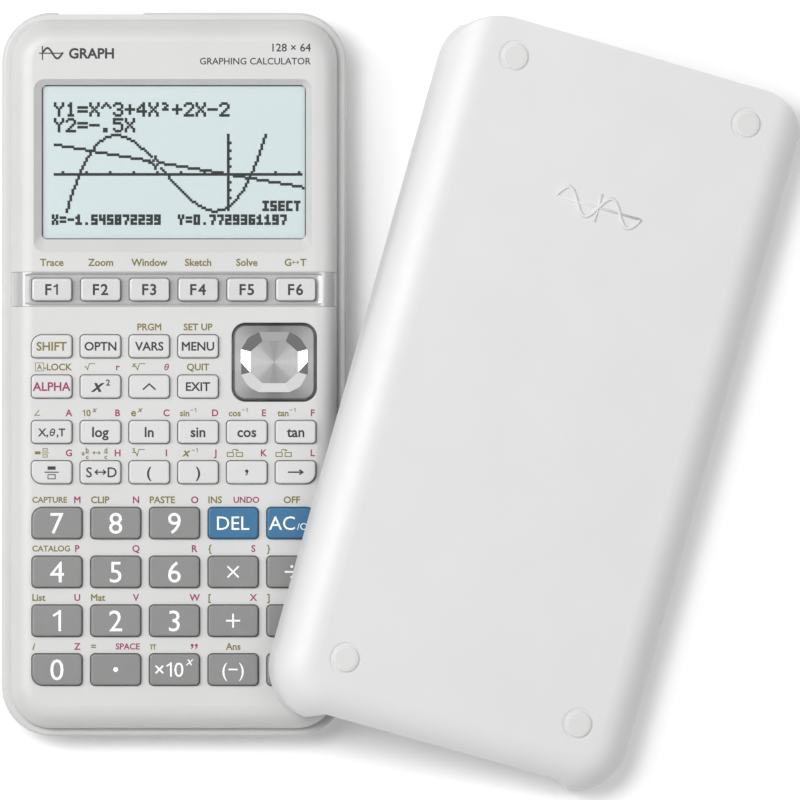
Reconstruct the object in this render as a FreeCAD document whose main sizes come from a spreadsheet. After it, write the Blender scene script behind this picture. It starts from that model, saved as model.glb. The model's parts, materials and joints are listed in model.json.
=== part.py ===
"""Graphing calculator with its loose slide-on hard cover.

Row frame: origin at the centre of the flat rear face, +X to the right, +Y towards the display,
+Z out of the keys. Every size is in millimetres and is kept in the spreadsheet "sizes".
"""

import FreeCAD, Part

import math
import os

from FreeCAD import Placement, Rotation, Vector
import Sketcher

# ---------------------------------------------------------------- driving dimensions

DRIVING = {
    # overall case: a flanged rear tray and a front shell that stands on the flange
    "flange_width": 83.5, "flange_length": 175.5, "flange_corner": 12.1,
    "flange_low": 7.6, "flange_high": 10.4, "flange_round": 0.9,
    "shell_width": 79.2, "shell_length": 171.8, "shell_corner": 10.0,
    "shell_top": 17.0, "shell_shoulder": 5.4, "front_inside": 15.2, "wall": 1.7,
    "rear_floor": 1.8, "rear_round": 4.5, "seam": 0.15,
    # keys: pitch, size and corner of the three sorts
    "small_width": 9.75, "small_height": 5.5, "small_corner": 0.9, "small_pitch": 11.81,
    "wide_width": 12.05, "wide_height": 7.55, "wide_corner": 1.0, "wide_pitch": 14.21,
    "wide_row_pitch": 11.82, "wide_shift": 0.2,
    "soft_width": 9.6, "soft_height": 5.4, "soft_corner": 0.8,
    "big_corner": 2.6, "key_gap": 0.2, "key_lip": 0.55, "key_bottom": 14.2, "key_lip_top": 15.0,
    "key_top": 18.3, "soft_key_top": 18.0, "key_round": 0.45, "key_travel": 1.2,
    "key_roof": 1.3, "key_wall": 1.1, "post_radius": 1.3,
    # rows of keys, counted up the face
    "soft_row": 20.35, "menu_row": 6.6, "exit_row": -3.15, "trig_row": -14.15,
    "bracket_row": -23.9, "top_wide_row": -36.2,
    # function-key strip
    "strip_centre": 20.45, "strip_height": 8.4, "strip_foot": 12.6, "strip_thick": 1.3,
    "strip_drop": 0.08, "tray_depth": 0.7, "tray_length": 69.8, "tray_ramp": 2.3,
    "tray_height": 7.0, "tray_side_ramp": 0.3,
    # cursor pad
    "pad_across": 24.35, "pad_along": 2.75, "pad_width": 20.1, "pad_height": 18.6, "pad_corner": 3.1,
    "pad_gap": 0.3, "pad_lip": 0.8, "pad_bottom": 13.4, "pad_lip_top": 14.3, "pad_top": 17.35,
    "pad_bevel": 0.55, "girdle_rise": 0.35, "apex_rise": 0.28, "gem_top": 18.7,
    "gem_half_width": 8.0, "gem_half_height": 7.3, "table_half_width": 5.75,
    "table_half_height": 5.05, "pivot_level": 12.6, "pivot_post": 1.5, "pivot_disc": 3.4, "pivot_room": 0.3,
    # display
    "window_width": 64.0, "window_height": 37.4, "window_corner": 1.3, "window_level": 51.25,
    "frame_width": 67.4, "frame_height": 42.0, "frame_corner": 2.6, "frame_level": 50.35,
    "frame_shift": -0.2, "frame_depth": 1.5, "window_gap": 0.15, "window_bottom": 14.9,
    "glass_width": 68.0, "glass_height": 41.4, "glass_bottom": 12.9, "glass_thick": 0.8,
    "cell_height": 38.4, "film_width": 66.0, "film_height": 37.6, "film_thick": 0.2,
    # battery bay, with four cells side by side
    "bay_width": 43.2, "bay_length": 50.0, "bay_level": 49.0, "bay_wall": 1.2, "bay_roof": 12.3,
    "bay_roof_thick": 0.45, "bay_rim": 3.0, "bay_rim_margin": 3.6,
    "battery_radius": 5.15, "battery_length": 43.7, "battery_nub": 0.8, "nub_radius": 1.9,
    "battery_pitch": 10.7, "battery_height": 7.05, "plate_thick": 0.4, "plate_size": 8.2,
    "door_width": 47.2, "door_length": 53.6, "door_low": 0.15, "door_high": 1.6, "door_gap": 0.3,
    "tab_width": 7.0, "tab_reach": 1.8, "tab_low": 1.9, "tab_high": 2.6, "tab_across": 13.0,
    # board, key mat, screws and sockets
    "board_low": 9.6, "board_thick": 1.2, "board_width": 72.0, "board_foot": -77.0,
    "board_head": 22.4, "mat_width": 71.0, "mat_thick": 0.7, "dome_base": 2.5, "dome_top": 1.5,
    "dome_height": 2.5, "screw_corner": 33.0, "screw_side": 34.6, "screw_head": 80.0,
    "screw_waist": 27.6, "screw_foot": -80.0, "screw_radius": 1.0, "screw_head_radius": 2.1,
    "screw_head_thick": 1.3, "screw_seat": 4.0, "screw_length": 8.0, "boss_radius": 2.4, "boss_split": 9.1,
    "recess_left": -28.2, "recess_right": -7.4, "recess_depth": 0.45,
    "jack_across": -23.0, "jack_level": 7.1, "jack_radius": 1.25, "jack_length": 11.0,
    "jack_collar": 2.5, "jack_neck": 4.6, "jack_face": 87.0, "usb_across": -13.2, "usb_level": 7.65,
    "usb_width": 7.7, "usb_height": 3.9, "usb_depth": 9.0, "usb_face": 86.6, "usb_skin": 0.35,
    # hard cover, in its own frame: top face at 0, open end at +Y
    "cover_width": 90.8, "cover_length": 176.3, "cover_depth": 13.2, "cover_corner": 13.0,
    "cover_round": 9.0, "cover_skin": 2.0, "cover_inside": 85.2, "cover_lip": 1.5,
    "cover_mouth": 81.0, "cover_end": 3.4, "cover_run_out": 24.0, "wall_sweep": 15.0,
    "wall_rise": 9.0, "notch_half": 30.3, "notch_slope": 3.8, "notch_depth": 2.0, "foot_across": 60.0, "foot_along": 151.0,
    "foot_radius": 3.1, "foot_rise": 0.3, "foot_shift": 3.6, "groove_inner": 3.35,
    "groove_outer": 3.95, "groove_depth": 0.2,
    # where the loose cover lies: turned on the table, its left rim up on the keys
    "cover_x": 89.3, "cover_y": -7.75, "cover_z": 23.5, "cover_turn": -15.7, "cover_tilt": 13.1,
}

doc = FreeCAD.newDocument("graphing_calculator")
sheet = doc.addObject("Spreadsheet::Sheet", "sizes")
for row, (alias, number) in enumerate(DRIVING.items(), start=1):
    sheet.set(f"A{row}", alias)
    sheet.set(f"B{row}", str(number))
    sheet.setAlias(f"B{row}", alias)
doc.recompute()


class Size:
    """A length with the spreadsheet formula that gives it, so both stay in step."""

    def __init__(self, value, formula):
        self.value = value
        self.formula = formula

    def __add__(self, other):
        other = as_size(other)
        return Size(self.value + other.value, f"({self.formula} + {other.formula})")

    def __sub__(self, other):
        other = as_size(other)
        return Size(self.value - other.value, f"({self.formula} - {other.formula})")

    def __mul__(self, factor):
        return Size(self.value * factor, f"({self.formula} * {factor})")

    def __neg__(self):
        return self * -1

    __radd__ = __add__
    __rmul__ = __mul__


def as_size(number):
    return number if isinstance(number, Size) else Size(float(number), f"({float(number)})")


def size(alias):
    return Size(DRIVING[alias], f"sizes.{alias}")


def bind(thing, **properties):
    """Binds properties such as Length or Radius to formulas over the spreadsheet."""
    for name, amount in properties.items():
        amount = as_size(amount)
        setattr(thing, name, amount.value)
        thing.setExpression(name, amount.formula)
    return thing


def put(thing, x=0, y=0, z=0):
    """Places an object, with the place bound to the spreadsheet."""
    places = [as_size(number) for number in (x, y, z)]
    thing.Placement = Placement(Vector(*[p.value for p in places]), thing.Placement.Rotation)
    for axis, place in zip("xyz", places):
        thing.setExpression(f"Placement.Base.{axis}", place.formula)
    return thing


# ---------------------------------------------------------------- sketch and feature helpers


def new_body(label):
    body = doc.addObject("PartDesign::Body", label)
    body.Label = label
    return body


def new_sketch(body, name, x=0, y=0, z=0, plane="XY_Plane"):
    """A sketch on one of the body's origin planes, its origin at x, y in that plane and z above it."""
    sketch = body.newObject("Sketcher::SketchObject", name)
    sketch.AttachmentSupport = [(next(f for f in body.Origin.OriginFeatures if f.Role == plane), "")]
    sketch.MapMode = "FlatFace"
    places = [as_size(number) for number in (x, y, z)]
    sketch.AttachmentOffset = Placement(Vector(*[p.value for p in places]), Rotation())
    for axis, place in zip("xyz", places):
        sketch.setExpression(f"AttachmentOffset.Base.{axis}", place.formula)
    return sketch


def dimension(sketch, name, *constraint):
    """Adds a driving dimension whose last item is a Size, bound to its formula."""
    amount = constraint[-1]
    index = sketch.addConstraint(Sketcher.Constraint(*constraint[:-1], amount.value))
    sketch.renameConstraint(index, name)
    sketch.setExpression(f"Constraints.{name}", amount.formula)


def draw_rounded(sketch, width, height, corners, tag=""):
    """A rectangle about the sketch's origin; corners is one radius, or four anticlockwise from top right."""
    width, height = as_size(width), as_size(height)
    radii = [as_size(r) for r in (corners if isinstance(corners, list) else [corners] * 4)]
    w, h = width.value / 2, height.value / 2
    signs = [(1, 1), (-1, 1), (-1, -1), (1, -1)]
    first = sketch.GeometryCount
    for quarter, ((sx, sy), radius) in enumerate(zip(signs, radii)):
        middle = Vector(sx * (w - radius.value), sy * (h - radius.value), 0)
        circle = Part.Circle(middle, Vector(0, 0, 1), radius.value)
        start = quarter * math.pi / 2
        sketch.addGeometry(Part.ArcOfCircle(circle, start, start + math.pi / 2), False)
    for quarter in range(4):
        after = (quarter + 1) % 4
        line = Part.LineSegment(
            sketch.getPoint(first + quarter, 2), sketch.getPoint(first + after, 1)
        )
        side = sketch.addGeometry(line, False)
        sketch.addConstraint(Sketcher.Constraint("Tangent", first + quarter, 2, side, 1))
        sketch.addConstraint(Sketcher.Constraint("Tangent", side, 2, first + after, 1))
        level = "Horizontal" if quarter % 2 == 0 else "Vertical"
        sketch.addConstraint(Sketcher.Constraint(level, side))
    top, left, bottom, right = range(first + 4, first + 8)
    dimension(sketch, f"top{tag}", "DistanceY", -1, 1, top, 1, height * 0.5)
    dimension(sketch, f"bottom{tag}", "DistanceY", bottom, 1, -1, 1, height * 0.5)
    dimension(sketch, f"left{tag}", "DistanceX", left, 1, -1, 1, width * 0.5)
    dimension(sketch, f"right{tag}", "DistanceX", -1, 1, right, 1, width * 0.5)
    for quarter, radius in enumerate(radii):
        dimension(sketch, f"corner{quarter}{tag}", "Radius", first + quarter, radius)


def draw_polygon(sketch, points, tag=""):
    """A closed polygon; each corner is fixed from the sketch's origin."""
    corners = [(as_size(x), as_size(y)) for x, y in points]
    first = sketch.GeometryCount
    count = len(corners)
    for number, (x, y) in enumerate(corners):
        x_next, y_next = corners[(number + 1) % count]
        start = Vector(x.value, y.value, 0)
        end = Vector(x_next.value, y_next.value, 0)
        sketch.addGeometry(Part.LineSegment(start, end), False)
    for number, (x, y) in enumerate(corners):
        line = first + number
        following = first + (number + 1) % count
        sketch.addConstraint(Sketcher.Constraint("Coincident", line, 2, following, 1))
        for way, amount in (("DistanceX", x), ("DistanceY", y)):
            name = f"{way}{number}{tag}"
            if amount.value >= 0:
                dimension(sketch, name, way, -1, 1, line, 1, amount)
            else:
                dimension(sketch, name, way, line, 1, -1, 1, -amount)


def draw_circle(sketch, radius, x=0, y=0, tag=""):
    radius, x, y = as_size(radius), as_size(x), as_size(y)
    centre = Vector(x.value, y.value, 0)
    ring = sketch.addGeometry(Part.Circle(centre, Vector(0, 0, 1), radius.value), False)
    dimension(sketch, f"radius{tag}", "Radius", ring, radius)
    for way, amount, axis in (("DistanceX", x, -2), ("DistanceY", y, -1)):
        if amount.value == 0:
            sketch.addConstraint(Sketcher.Constraint("PointOnObject", ring, 3, axis))
        elif amount.value > 0:
            dimension(sketch, f"{way}{tag}", way, -1, 1, ring, 3, amount)
        else:
            dimension(sketch, f"{way}{tag}", way, ring, 3, -1, 1, -amount)


def pad(body, sketch, length, both_ways=False):
    feature = body.newObject("PartDesign::Pad", "pad")
    feature.Profile = sketch
    feature.Midplane = both_ways
    feature.Refine = False
    bind(feature, Length=length)
    sketch.Visibility = False
    doc.recompute()
    return feature


def pocket(body, sketch, length, upwards=False, both_ways=False):
    """Cuts downwards from the sketch, or upwards; a cut that removes nothing is an error."""
    before = body.Shape.Volume
    feature = body.newObject("PartDesign::Pocket", "pocket")
    feature.Profile = sketch
    feature.Midplane = both_ways
    feature.Reversed = upwards
    feature.Refine = False
    bind(feature, Length=length)
    sketch.Visibility = False
    doc.recompute()
    if not body.Shape.Volume < before - 1e-6:
        raise RuntimeError(f"{body.Label}: a pocket on {sketch.Label} removed nothing")
    return feature


def loft_cut(body, sketch, end_sketch):
    doc.recompute()
    before = body.Shape.Volume
    feature = body.newObject("PartDesign::SubtractiveLoft", "loft")
    feature.Profile = sketch
    feature.Sections = [end_sketch]
    feature.Ruled = True
    feature.Refine = False
    doc.recompute()
    if body.Shape.Volume > before - 1.0:
        raise RuntimeError(f"{body.Label}: the sloped cut removed nothing")
    return feature


def round_edges(body, radius, choose, bevel=False):
    """Fillets, or bevels, the edges of the body's tip that choose() picks."""
    tip = body.Tip
    edges = [f"Edge{n}" for n, edge in enumerate(tip.Shape.Edges, start=1) if choose(edge)]
    if not edges:
        raise RuntimeError(f"{body.Label}: no edge to round")
    kind = "Chamfer" if bevel else "Fillet"
    feature = body.newObject(f"PartDesign::{kind}", kind.lower())
    feature.Base = (tip, edges)
    feature.Refine = False
    if bevel:
        bind(feature, Size=radius)
    else:
        bind(feature, Radius=radius)
    doc.recompute()
    return feature


def at_height(level):
    """Picks edges that lie wholly at one height."""
    height = as_size(level).value

    def choose(edge):
        box = edge.BoundBox
        return abs(box.ZMin - height) < 1e-4 and abs(box.ZMax - height) < 1e-4

    return choose


def both(first, second):
    return lambda edge: first(edge) and second(edge)


def part_object(kind, label, x=0, y=0, z=0, **dimensions):
    """A Part primitive with bound sizes and place."""
    thing = doc.addObject(f"Part::{kind}", label)
    bind(thing, **dimensions)
    return put(thing, x, y, z)


def block(label, x, y, z, width, depth, height):
    """A Part::Box centred on x, y, standing on z."""
    width, depth = as_size(width), as_size(depth)
    low_x, low_y = as_size(x) - width * 0.5, as_size(y) - depth * 0.5
    return part_object("Box", label, low_x, low_y, z, Length=width, Width=depth, Height=height)


def lying(thing):
    """Turns an upright cylinder or cone so that it points along +Y."""
    thing.Placement = Placement(thing.Placement.Base, Rotation(Vector(1, 0, 0), -90))
    return thing


def combine(kind, label, **links):
    thing = doc.addObject(f"Part::{kind}", label)
    for name, value in links.items():
        setattr(thing, name, value)
    thing.Label = label
    doc.recompute()
    return thing


# ---------------------------------------------------------------- key table


def key_table():
    """Every key: label, centre across, centre up, sort, and which corner, if any, is the big one."""
    rows = []
    columns = [size("small_pitch") * (n - 2.5) for n in range(6)]
    for number, across in enumerate(columns, start=1):
        rows.append((f"key_f{number}", across, size("soft_row"), "soft", None))
    small = (
        ("menu_row", ("shift", "option", "variables", "menu")),
        ("exit_row", ("alpha", "square", "power", "exit")),
        ("trig_row", ("variable_x", "log", "natural_log", "sine", "cosine", "tangent")),
        ("bracket_row", ("fraction", "convert", "open_bracket", "close_bracket", "comma", "store")),
    )
    big = {"shift": 1, "fraction": 2, "store": 3, "seven": 1, "clear": 0, "zero": 2, "execute": 3}
    for level, names in small:
        for name, across in zip(names, columns):
            rows.append((f"key_{name}", across, size(level), "small", big.get(name)))
    wide = (
        ("seven", "eight", "nine", "delete", "clear"),
        ("four", "five", "six", "multiply", "divide"),
        ("one", "two", "three", "plus", "minus"),
        ("zero", "point", "exponent", "negate", "execute"),
    )
    for down, names in enumerate(wide):
        level = size("top_wide_row") - size("wide_row_pitch") * down
        for column, name in enumerate(names):
            across = size("wide_pitch") * (column - 2) + size("wide_shift")
            rows.append((f"key_{name}", across, level, "wide", big.get(name)))
    return rows


def key_outline(sort, big_corner, grow=0.0):
    """Width, height and four corner radii of a key, or of its opening when grown."""
    grow = as_size(grow)
    width = size(f"{sort}_width") + grow * 2
    height = size(f"{sort}_height") + grow * 2
    radii = [size(f"{sort}_corner") + grow for _ in range(4)]
    if big_corner is not None:
        radii[big_corner] = size("big_corner") + grow
    return width, height, radii


KEYS = key_table()


# ---------------------------------------------------------------- keys


def make_key(label, across, level, sort, big_corner):
    """A hollow moulded keycap: retaining lip, cap with rounded edges, centre post inside."""
    body = new_body(label)
    bottom, lip_top = size("key_bottom"), size("key_lip_top")
    top = size("soft_key_top" if sort == "soft" else "key_top")
    lip = new_sketch(body, "lip_outline", z=bottom)
    draw_rounded(lip, *key_outline(sort, big_corner, size("key_lip")))
    pad(body, lip, lip_top - bottom)
    cap = new_sketch(body, "cap_outline", z=lip_top)
    draw_rounded(cap, *key_outline(sort, big_corner))
    pad(body, cap, top - lip_top)
    round_edges(body, size("key_round"), at_height(top))
    hollow = new_sketch(body, "hollow_outline", z=bottom)
    width, height, _ = key_outline(sort, big_corner)
    inside = size("key_wall") * 2
    draw_rounded(hollow, width - inside, height - inside, 0.5)
    draw_circle(hollow, size("post_radius"), tag="_post")
    pocket(body, hollow, top - bottom - size("key_roof"), upwards=True)
    put(body, across, level)
    return body


# ---------------------------------------------------------------- front shell


def make_front_case():
    """The white front shell, open below, with every key opening and the sloped display frame."""
    body = new_body("front_shell")
    low, top, inside = size("flange_high"), size("shell_top"), size("front_inside")
    outline = new_sketch(body, "outline", z=low)
    draw_rounded(outline, size("shell_width"), size("shell_length"), size("shell_corner"))
    pad(body, outline, top - low)
    round_edges(body, size("shell_shoulder"), at_height(top))
    hollow = new_sketch(body, "hollow", z=low)
    wall = size("wall") * 2
    corner = size("shell_corner") - size("wall")
    draw_rounded(hollow, size("shell_width") - wall, size("shell_length") - wall, corner)
    pocket(body, hollow, inside - low, upwards=True)
    shoulder = size("shell_shoulder").value - size("wall").value - 0.4
    half = (size("shell_width") - wall).value / 2
    round_edges(
        body,
        shoulder,
        both(at_height(inside), lambda edge: edge.BoundBox.XMax > half - corner.value - 0.1),
    )

    slope_top = new_sketch(body, "frame_top", size("frame_shift"), size("frame_level"), top)
    draw_rounded(slope_top, size("frame_width"), size("frame_height"), size("frame_corner"))
    slope_end = new_sketch(
        body, "frame_end", y=size("window_level"), z=top - size("frame_depth")
    )
    draw_rounded(slope_end, size("window_width"), size("window_height"), size("window_corner"))
    loft_cut(body, slope_top, slope_end)
    window = new_sketch(body, "window_opening", y=size("window_level"), z=top)
    draw_rounded(window, size("window_width"), size("window_height"), size("window_corner"))
    pocket(body, window, top - inside + 1.0)

    bosses = new_sketch(body, "bosses", z=size("boss_split"))
    pilots = new_sketch(body, "pilot_holes", z=size("boss_split"))
    for number, (x, y) in enumerate(screw_places()):
        draw_circle(bosses, size("boss_radius"), x, y, f"_{number}")
        draw_circle(pilots, size("screw_radius") + 0.05, x, y, f"_{number}")
    pad(body, bosses, inside - size("boss_split") + 0.4)
    pocket(body, pilots, 4.2, upwards=True)

    band = block(
        "band", 0, size("strip_centre"), size("strip_foot"),
        size("shell_width") + 4.0, size("strip_height"), 8.0,
    )
    core = strip_core("band_core", size("strip_height") + 2.0)
    channel = combine("Cut", "strip_channel", Base=band, Tool=core)
    gap = size("key_gap")
    cutters = [channel]
    for label, across, level, sort, big_corner in KEYS:
        outline = key_outline(sort, big_corner, gap)
        cutters.append(opening_cutter(f"{label}_opening", across, level, *outline))
    pad_gap = size("pad_gap")
    cutters.append(
        opening_cutter(
            "pad_opening", size("pad_across"), size("pad_along"),
            size("pad_width") + pad_gap * 2, size("pad_height") + pad_gap * 2,
            size("pad_corner") + pad_gap,
        )
    )
    openings = combine("Compound", "front_openings", Links=cutters)
    return combine("Cut", "front_case", Base=body, Tool=openings)


def opening_cutter(label, across, level, width, height, corners):
    """An upright prism that cuts one opening through the face of the front shell."""
    body = new_body(label)
    low = size("front_inside") - 1.0
    outline = new_sketch(body, "outline", z=low)
    draw_rounded(outline, width, height, corners)
    pad(body, outline, size("shell_top") + 1.0 - low)
    return put(body, across, level)


def strip_section(body, name, inset):
    """The cross-section of the front shell's crown, moved inwards, drawn on the XZ plane."""
    reach = 30.0
    inset = as_size(inset)
    middle = size("shell_top") - inset - reach / 2
    sketch = new_sketch(body, name, y=middle, plane="XZ_Plane")
    radius = size("shell_shoulder") - inset
    draw_rounded(sketch, size("shell_width") - inset * 2, reach, radius)
    return sketch


def strip_core(label, length):
    """The solid that the function-key strip is wrapped over."""
    body = new_body(label)
    pad(body, strip_section(body, "core_section", size("strip_thick")), length, both_ways=True)
    return put(body, y=size("strip_centre"))


def make_strip():
    """The glossy strip that crosses the face and wraps over both shoulders round the F keys."""
    body = new_body("function_key_strip")
    clearance = 0.08
    length = size("strip_height") - clearance * 2
    pad(body, strip_section(body, "strip_outside", size("strip_drop")), length, both_ways=True)
    inside = strip_section(body, "strip_inside", size("strip_thick") - 0.03)
    pocket(body, inside, length + 2.0, both_ways=True)
    foot = new_sketch(body, "strip_ends", z=size("strip_foot") + clearance)
    draw_rounded(foot, size("shell_width") + 4.0, size("strip_height") + 4.0, 1.0)
    pocket(body, foot, 40.0)
    top = size("shell_top") - size("strip_drop")
    floor = size("shell_top") - size("tray_depth")
    tray_top = new_sketch(body, "tray_top", z=top)
    ramp, side = size("tray_ramp") * 2, size("tray_side_ramp") * 2
    draw_rounded(tray_top, size("tray_length") + ramp, size("tray_height") + side, 0.6)
    tray_end = new_sketch(body, "tray_end", z=floor)
    draw_rounded(tray_end, size("tray_length"), size("tray_height"), 0.4)
    loft_cut(body, tray_top, tray_end)
    for label, across, _, sort, big_corner in KEYS:
        if sort == "soft":
            opening = new_sketch(body, f"{label}_hole", across, size("soft_row") - size("strip_centre"), top)
            draw_rounded(opening, *key_outline(sort, big_corner, size("key_gap")))
            pocket(body, opening, 3.0)
    return put(body, y=size("strip_centre"))


# ---------------------------------------------------------------- cursor pad


def gem_solid():
    """The faceted crown of the cursor pad: an octagonal table inside a twelve-sided girdle."""
    half_w, half_h = DRIVING["gem_half_width"], DRIVING["gem_half_height"]
    table_w, table_h = DRIVING["table_half_width"], DRIVING["table_half_height"]
    top, low = DRIVING["gem_top"], DRIVING["pad_top"] - 0.6
    girdle = DRIVING["pad_top"] + DRIVING["girdle_rise"]
    top_share, side_share, diagonal = 0.49, 0.42, 0.79

    def ring(width, height, flat_top, flat_side, level):
        """Corners of one octagon, anticlockwise from the right side's lower corner."""
        quarter = [(width, height * flat_side), (width * flat_top, height)]
        points = [(width, -height * flat_side)] + quarter
        points += [(-x, y) for x, y in reversed(quarter)] + [(-width, -height * flat_side)]
        points += [(-width * flat_top, -height), (width * flat_top, -height)]
        return [Vector(x, y, level) for x, y in points]

    def on_plane(first, second, third, x, y):
        """The point above x, y in the plane through three points."""
        normal = (second - first).cross(third - first)
        drop = normal.x * (x - first.x) + normal.y * (y - first.y)
        return Vector(x, y, first.z - drop / normal.z)

    table = ring(table_w, table_h, top_share, top_share, top)
    outer = ring(half_w, half_h, top_share - 0.03, side_share, girdle)
    faces = [Part.Face(Part.makePolygon(table + table[:1]))]
    foot_ring = []
    for n in range(8):
        after = (n + 1) % 8
        middle = (outer[n] + outer[after]) * 0.5
        if n % 2 == 1:
            reach_x = math.copysign(half_w * diagonal, middle.x)
            reach_y = math.copysign(half_h * diagonal * 1.03, middle.y)
            middle = on_plane(table[n], outer[n], outer[after], reach_x, reach_y)
        else:
            middle += Vector(0, 0, DRIVING["apex_rise"])
        for corners in (
            (table[n], outer[n], middle),
            (table[n], middle, table[after]),
            (table[after], middle, outer[after]),
        ):
            faces.append(Part.Face(Part.makePolygon(list(corners) + [corners[0]])))
        foot_ring += [outer[n], middle]
    base_ring = [Vector(p.x, p.y, low) for p in foot_ring]
    for n in range(16):
        after = (n + 1) % 16
        wall = [foot_ring[n], foot_ring[after], base_ring[after], base_ring[n], foot_ring[n]]
        faces.append(Part.Face(Part.makePolygon(wall)))
    faces.append(Part.Face(Part.makePolygon(base_ring + base_ring[:1])))
    shell = Part.makeShell(faces)
    solid = Part.makeSolid(shell)
    if solid.Volume < 0:
        solid.reverse()
    return solid


def make_cursor_pad():
    """The silver rocker: rounded square plate with the faceted crown, socketed on its pivot."""
    body = new_body("pad_plate")
    bottom, lip_top, top = size("pad_bottom"), size("pad_lip_top"), size("pad_top")
    width, height, corner = size("pad_width"), size("pad_height"), size("pad_corner")
    lip = new_sketch(body, "pad_lip_outline", z=bottom)
    spread = size("pad_lip")
    draw_rounded(lip, width + spread * 2, height + spread * 2, corner + spread)
    pad(body, lip, lip_top - bottom)
    cap = new_sketch(body, "pad_outline", z=lip_top)
    draw_rounded(cap, width, height, corner)
    pad(body, cap, top - lip_top)
    round_edges(body, size("pad_bevel"), at_height(top), bevel=True)
    socket = new_sketch(body, "pivot_socket", z=bottom)
    draw_circle(socket, size("pivot_post") + size("pivot_room"))
    pocket(body, socket, 1.6, upwards=True)
    crown = doc.addObject("Part::Feature", "pad_crown")
    crown.Shape = gem_solid()
    rocker = combine("Fuse", "cursor_pad", Base=body, Tool=crown)
    return put(rocker, size("pad_across"), size("pad_along"))


def make_cursor_pivot():
    """The rubber-seated swivel post under the cursor pad."""
    body = new_body("cursor_pivot")
    level, room = size("pivot_level"), size("pivot_room")
    disc = new_sketch(body, "disc", z=level - 0.5)
    draw_circle(disc, size("pivot_disc"))
    pad(body, disc, 1.0)
    post = new_sketch(body, "post", z=level + 0.5)
    draw_circle(post, size("pivot_post"))
    pad(body, post, size("pad_bottom") - level + 1.6 - 0.5 - room)
    nub = new_sketch(body, "nub", z=level - 0.95)
    draw_circle(nub, 1.0)
    pad(body, nub, 0.45)
    return put(body, size("pad_across"), size("pad_along"))


# ---------------------------------------------------------------- display


def make_window():
    """The clear window: it fills the frame opening and is glued behind the shell by its rim."""
    body = new_body("display_window")
    low, seat = size("window_bottom"), size("front_inside")
    rim = new_sketch(body, "rim", z=low)
    width, height = size("window_width"), size("window_height")
    draw_rounded(rim, width + 2.6, height + 2.6, 2.0)
    pad(body, rim, seat - low)
    gap = size("window_gap") * 2
    pane = new_sketch(body, "pane", z=seat)
    draw_rounded(pane, width - gap, height - gap, size("window_corner") - size("window_gap"))
    pad(body, pane, size("shell_top") - size("frame_depth") - 0.05 - seat)
    round_edges(body, 0.12, at_height(size("shell_top") - size("frame_depth") - 0.05), bevel=True)
    return put(body, y=size("window_level"))


def make_display():
    """The liquid-crystal cell: two glasses, the front film, and the folded ribbon to the board."""
    level, low = size("window_level"), size("glass_bottom")
    thick = size("glass_thick")
    lower = block("lower_glass", 0, level, low, size("glass_width"), size("glass_height"), thick)
    upper = block(
        "upper_glass", 0, level + 0.6, low + thick, size("glass_width"), size("cell_height"),
        thick - 0.1,
    )
    film_low = low + thick * 2 - 0.1
    film = block(
        "front_film", 0, level, film_low, size("film_width"), size("film_height"), size("film_thick")
    )
    ribbon = new_body("ribbon")
    fold, skin = 1.05, 0.15
    bend = new_sketch(ribbon, "ribbon_section", plane="YZ_Plane")
    for number, radius in enumerate((fold, fold - skin)):
        arc = Part.ArcOfCircle(Part.Circle(Vector(), Vector(0, 0, 1), radius), math.pi / 2, 1.5 * math.pi)
        bend.addGeometry(arc, False)
        bend.addConstraint(Sketcher.Constraint("Coincident", number, 3, -1, 1))
        dimension(bend, f"fold{number}", "Radius", number, as_size(radius))
        for end in (1, 2):
            bend.addConstraint(Sketcher.Constraint("PointOnObject", number, end, -2))
    tail = 5.0
    for outer_end, inner_end, side in ((1, 1, 1), (2, 2, -1)):
        high = Vector(tail, side * fold, 0)
        near = Vector(tail, side * (fold - skin), 0)
        first = bend.addGeometry(Part.LineSegment(Vector(0, side * fold, 0), high), False)
        end = bend.addGeometry(Part.LineSegment(high, near), False)
        back = bend.addGeometry(Part.LineSegment(near, Vector(0, side * (fold - skin), 0)), False)
        bend.addConstraint(Sketcher.Constraint("Coincident", first, 1, 0, outer_end))
        bend.addConstraint(Sketcher.Constraint("Coincident", first, 2, end, 1))
        bend.addConstraint(Sketcher.Constraint("Coincident", end, 2, back, 1))
        bend.addConstraint(Sketcher.Constraint("Coincident", back, 2, 1, inner_end))
        bend.addConstraint(Sketcher.Constraint("Horizontal", first))
        bend.addConstraint(Sketcher.Constraint("Horizontal", back))
        bend.addConstraint(Sketcher.Constraint("Vertical", end))
        dimension(bend, f"tail{side + 1}", "DistanceX", first, 1, first, 2, as_size(tail))
    pad(ribbon, bend, 6.0, both_ways=True)
    put(ribbon, -26.7, 36.0, low - fold)
    return combine("Compound", "display_cell", Links=[lower, upper, film, ribbon])


# ---------------------------------------------------------------- board and key mat


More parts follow.
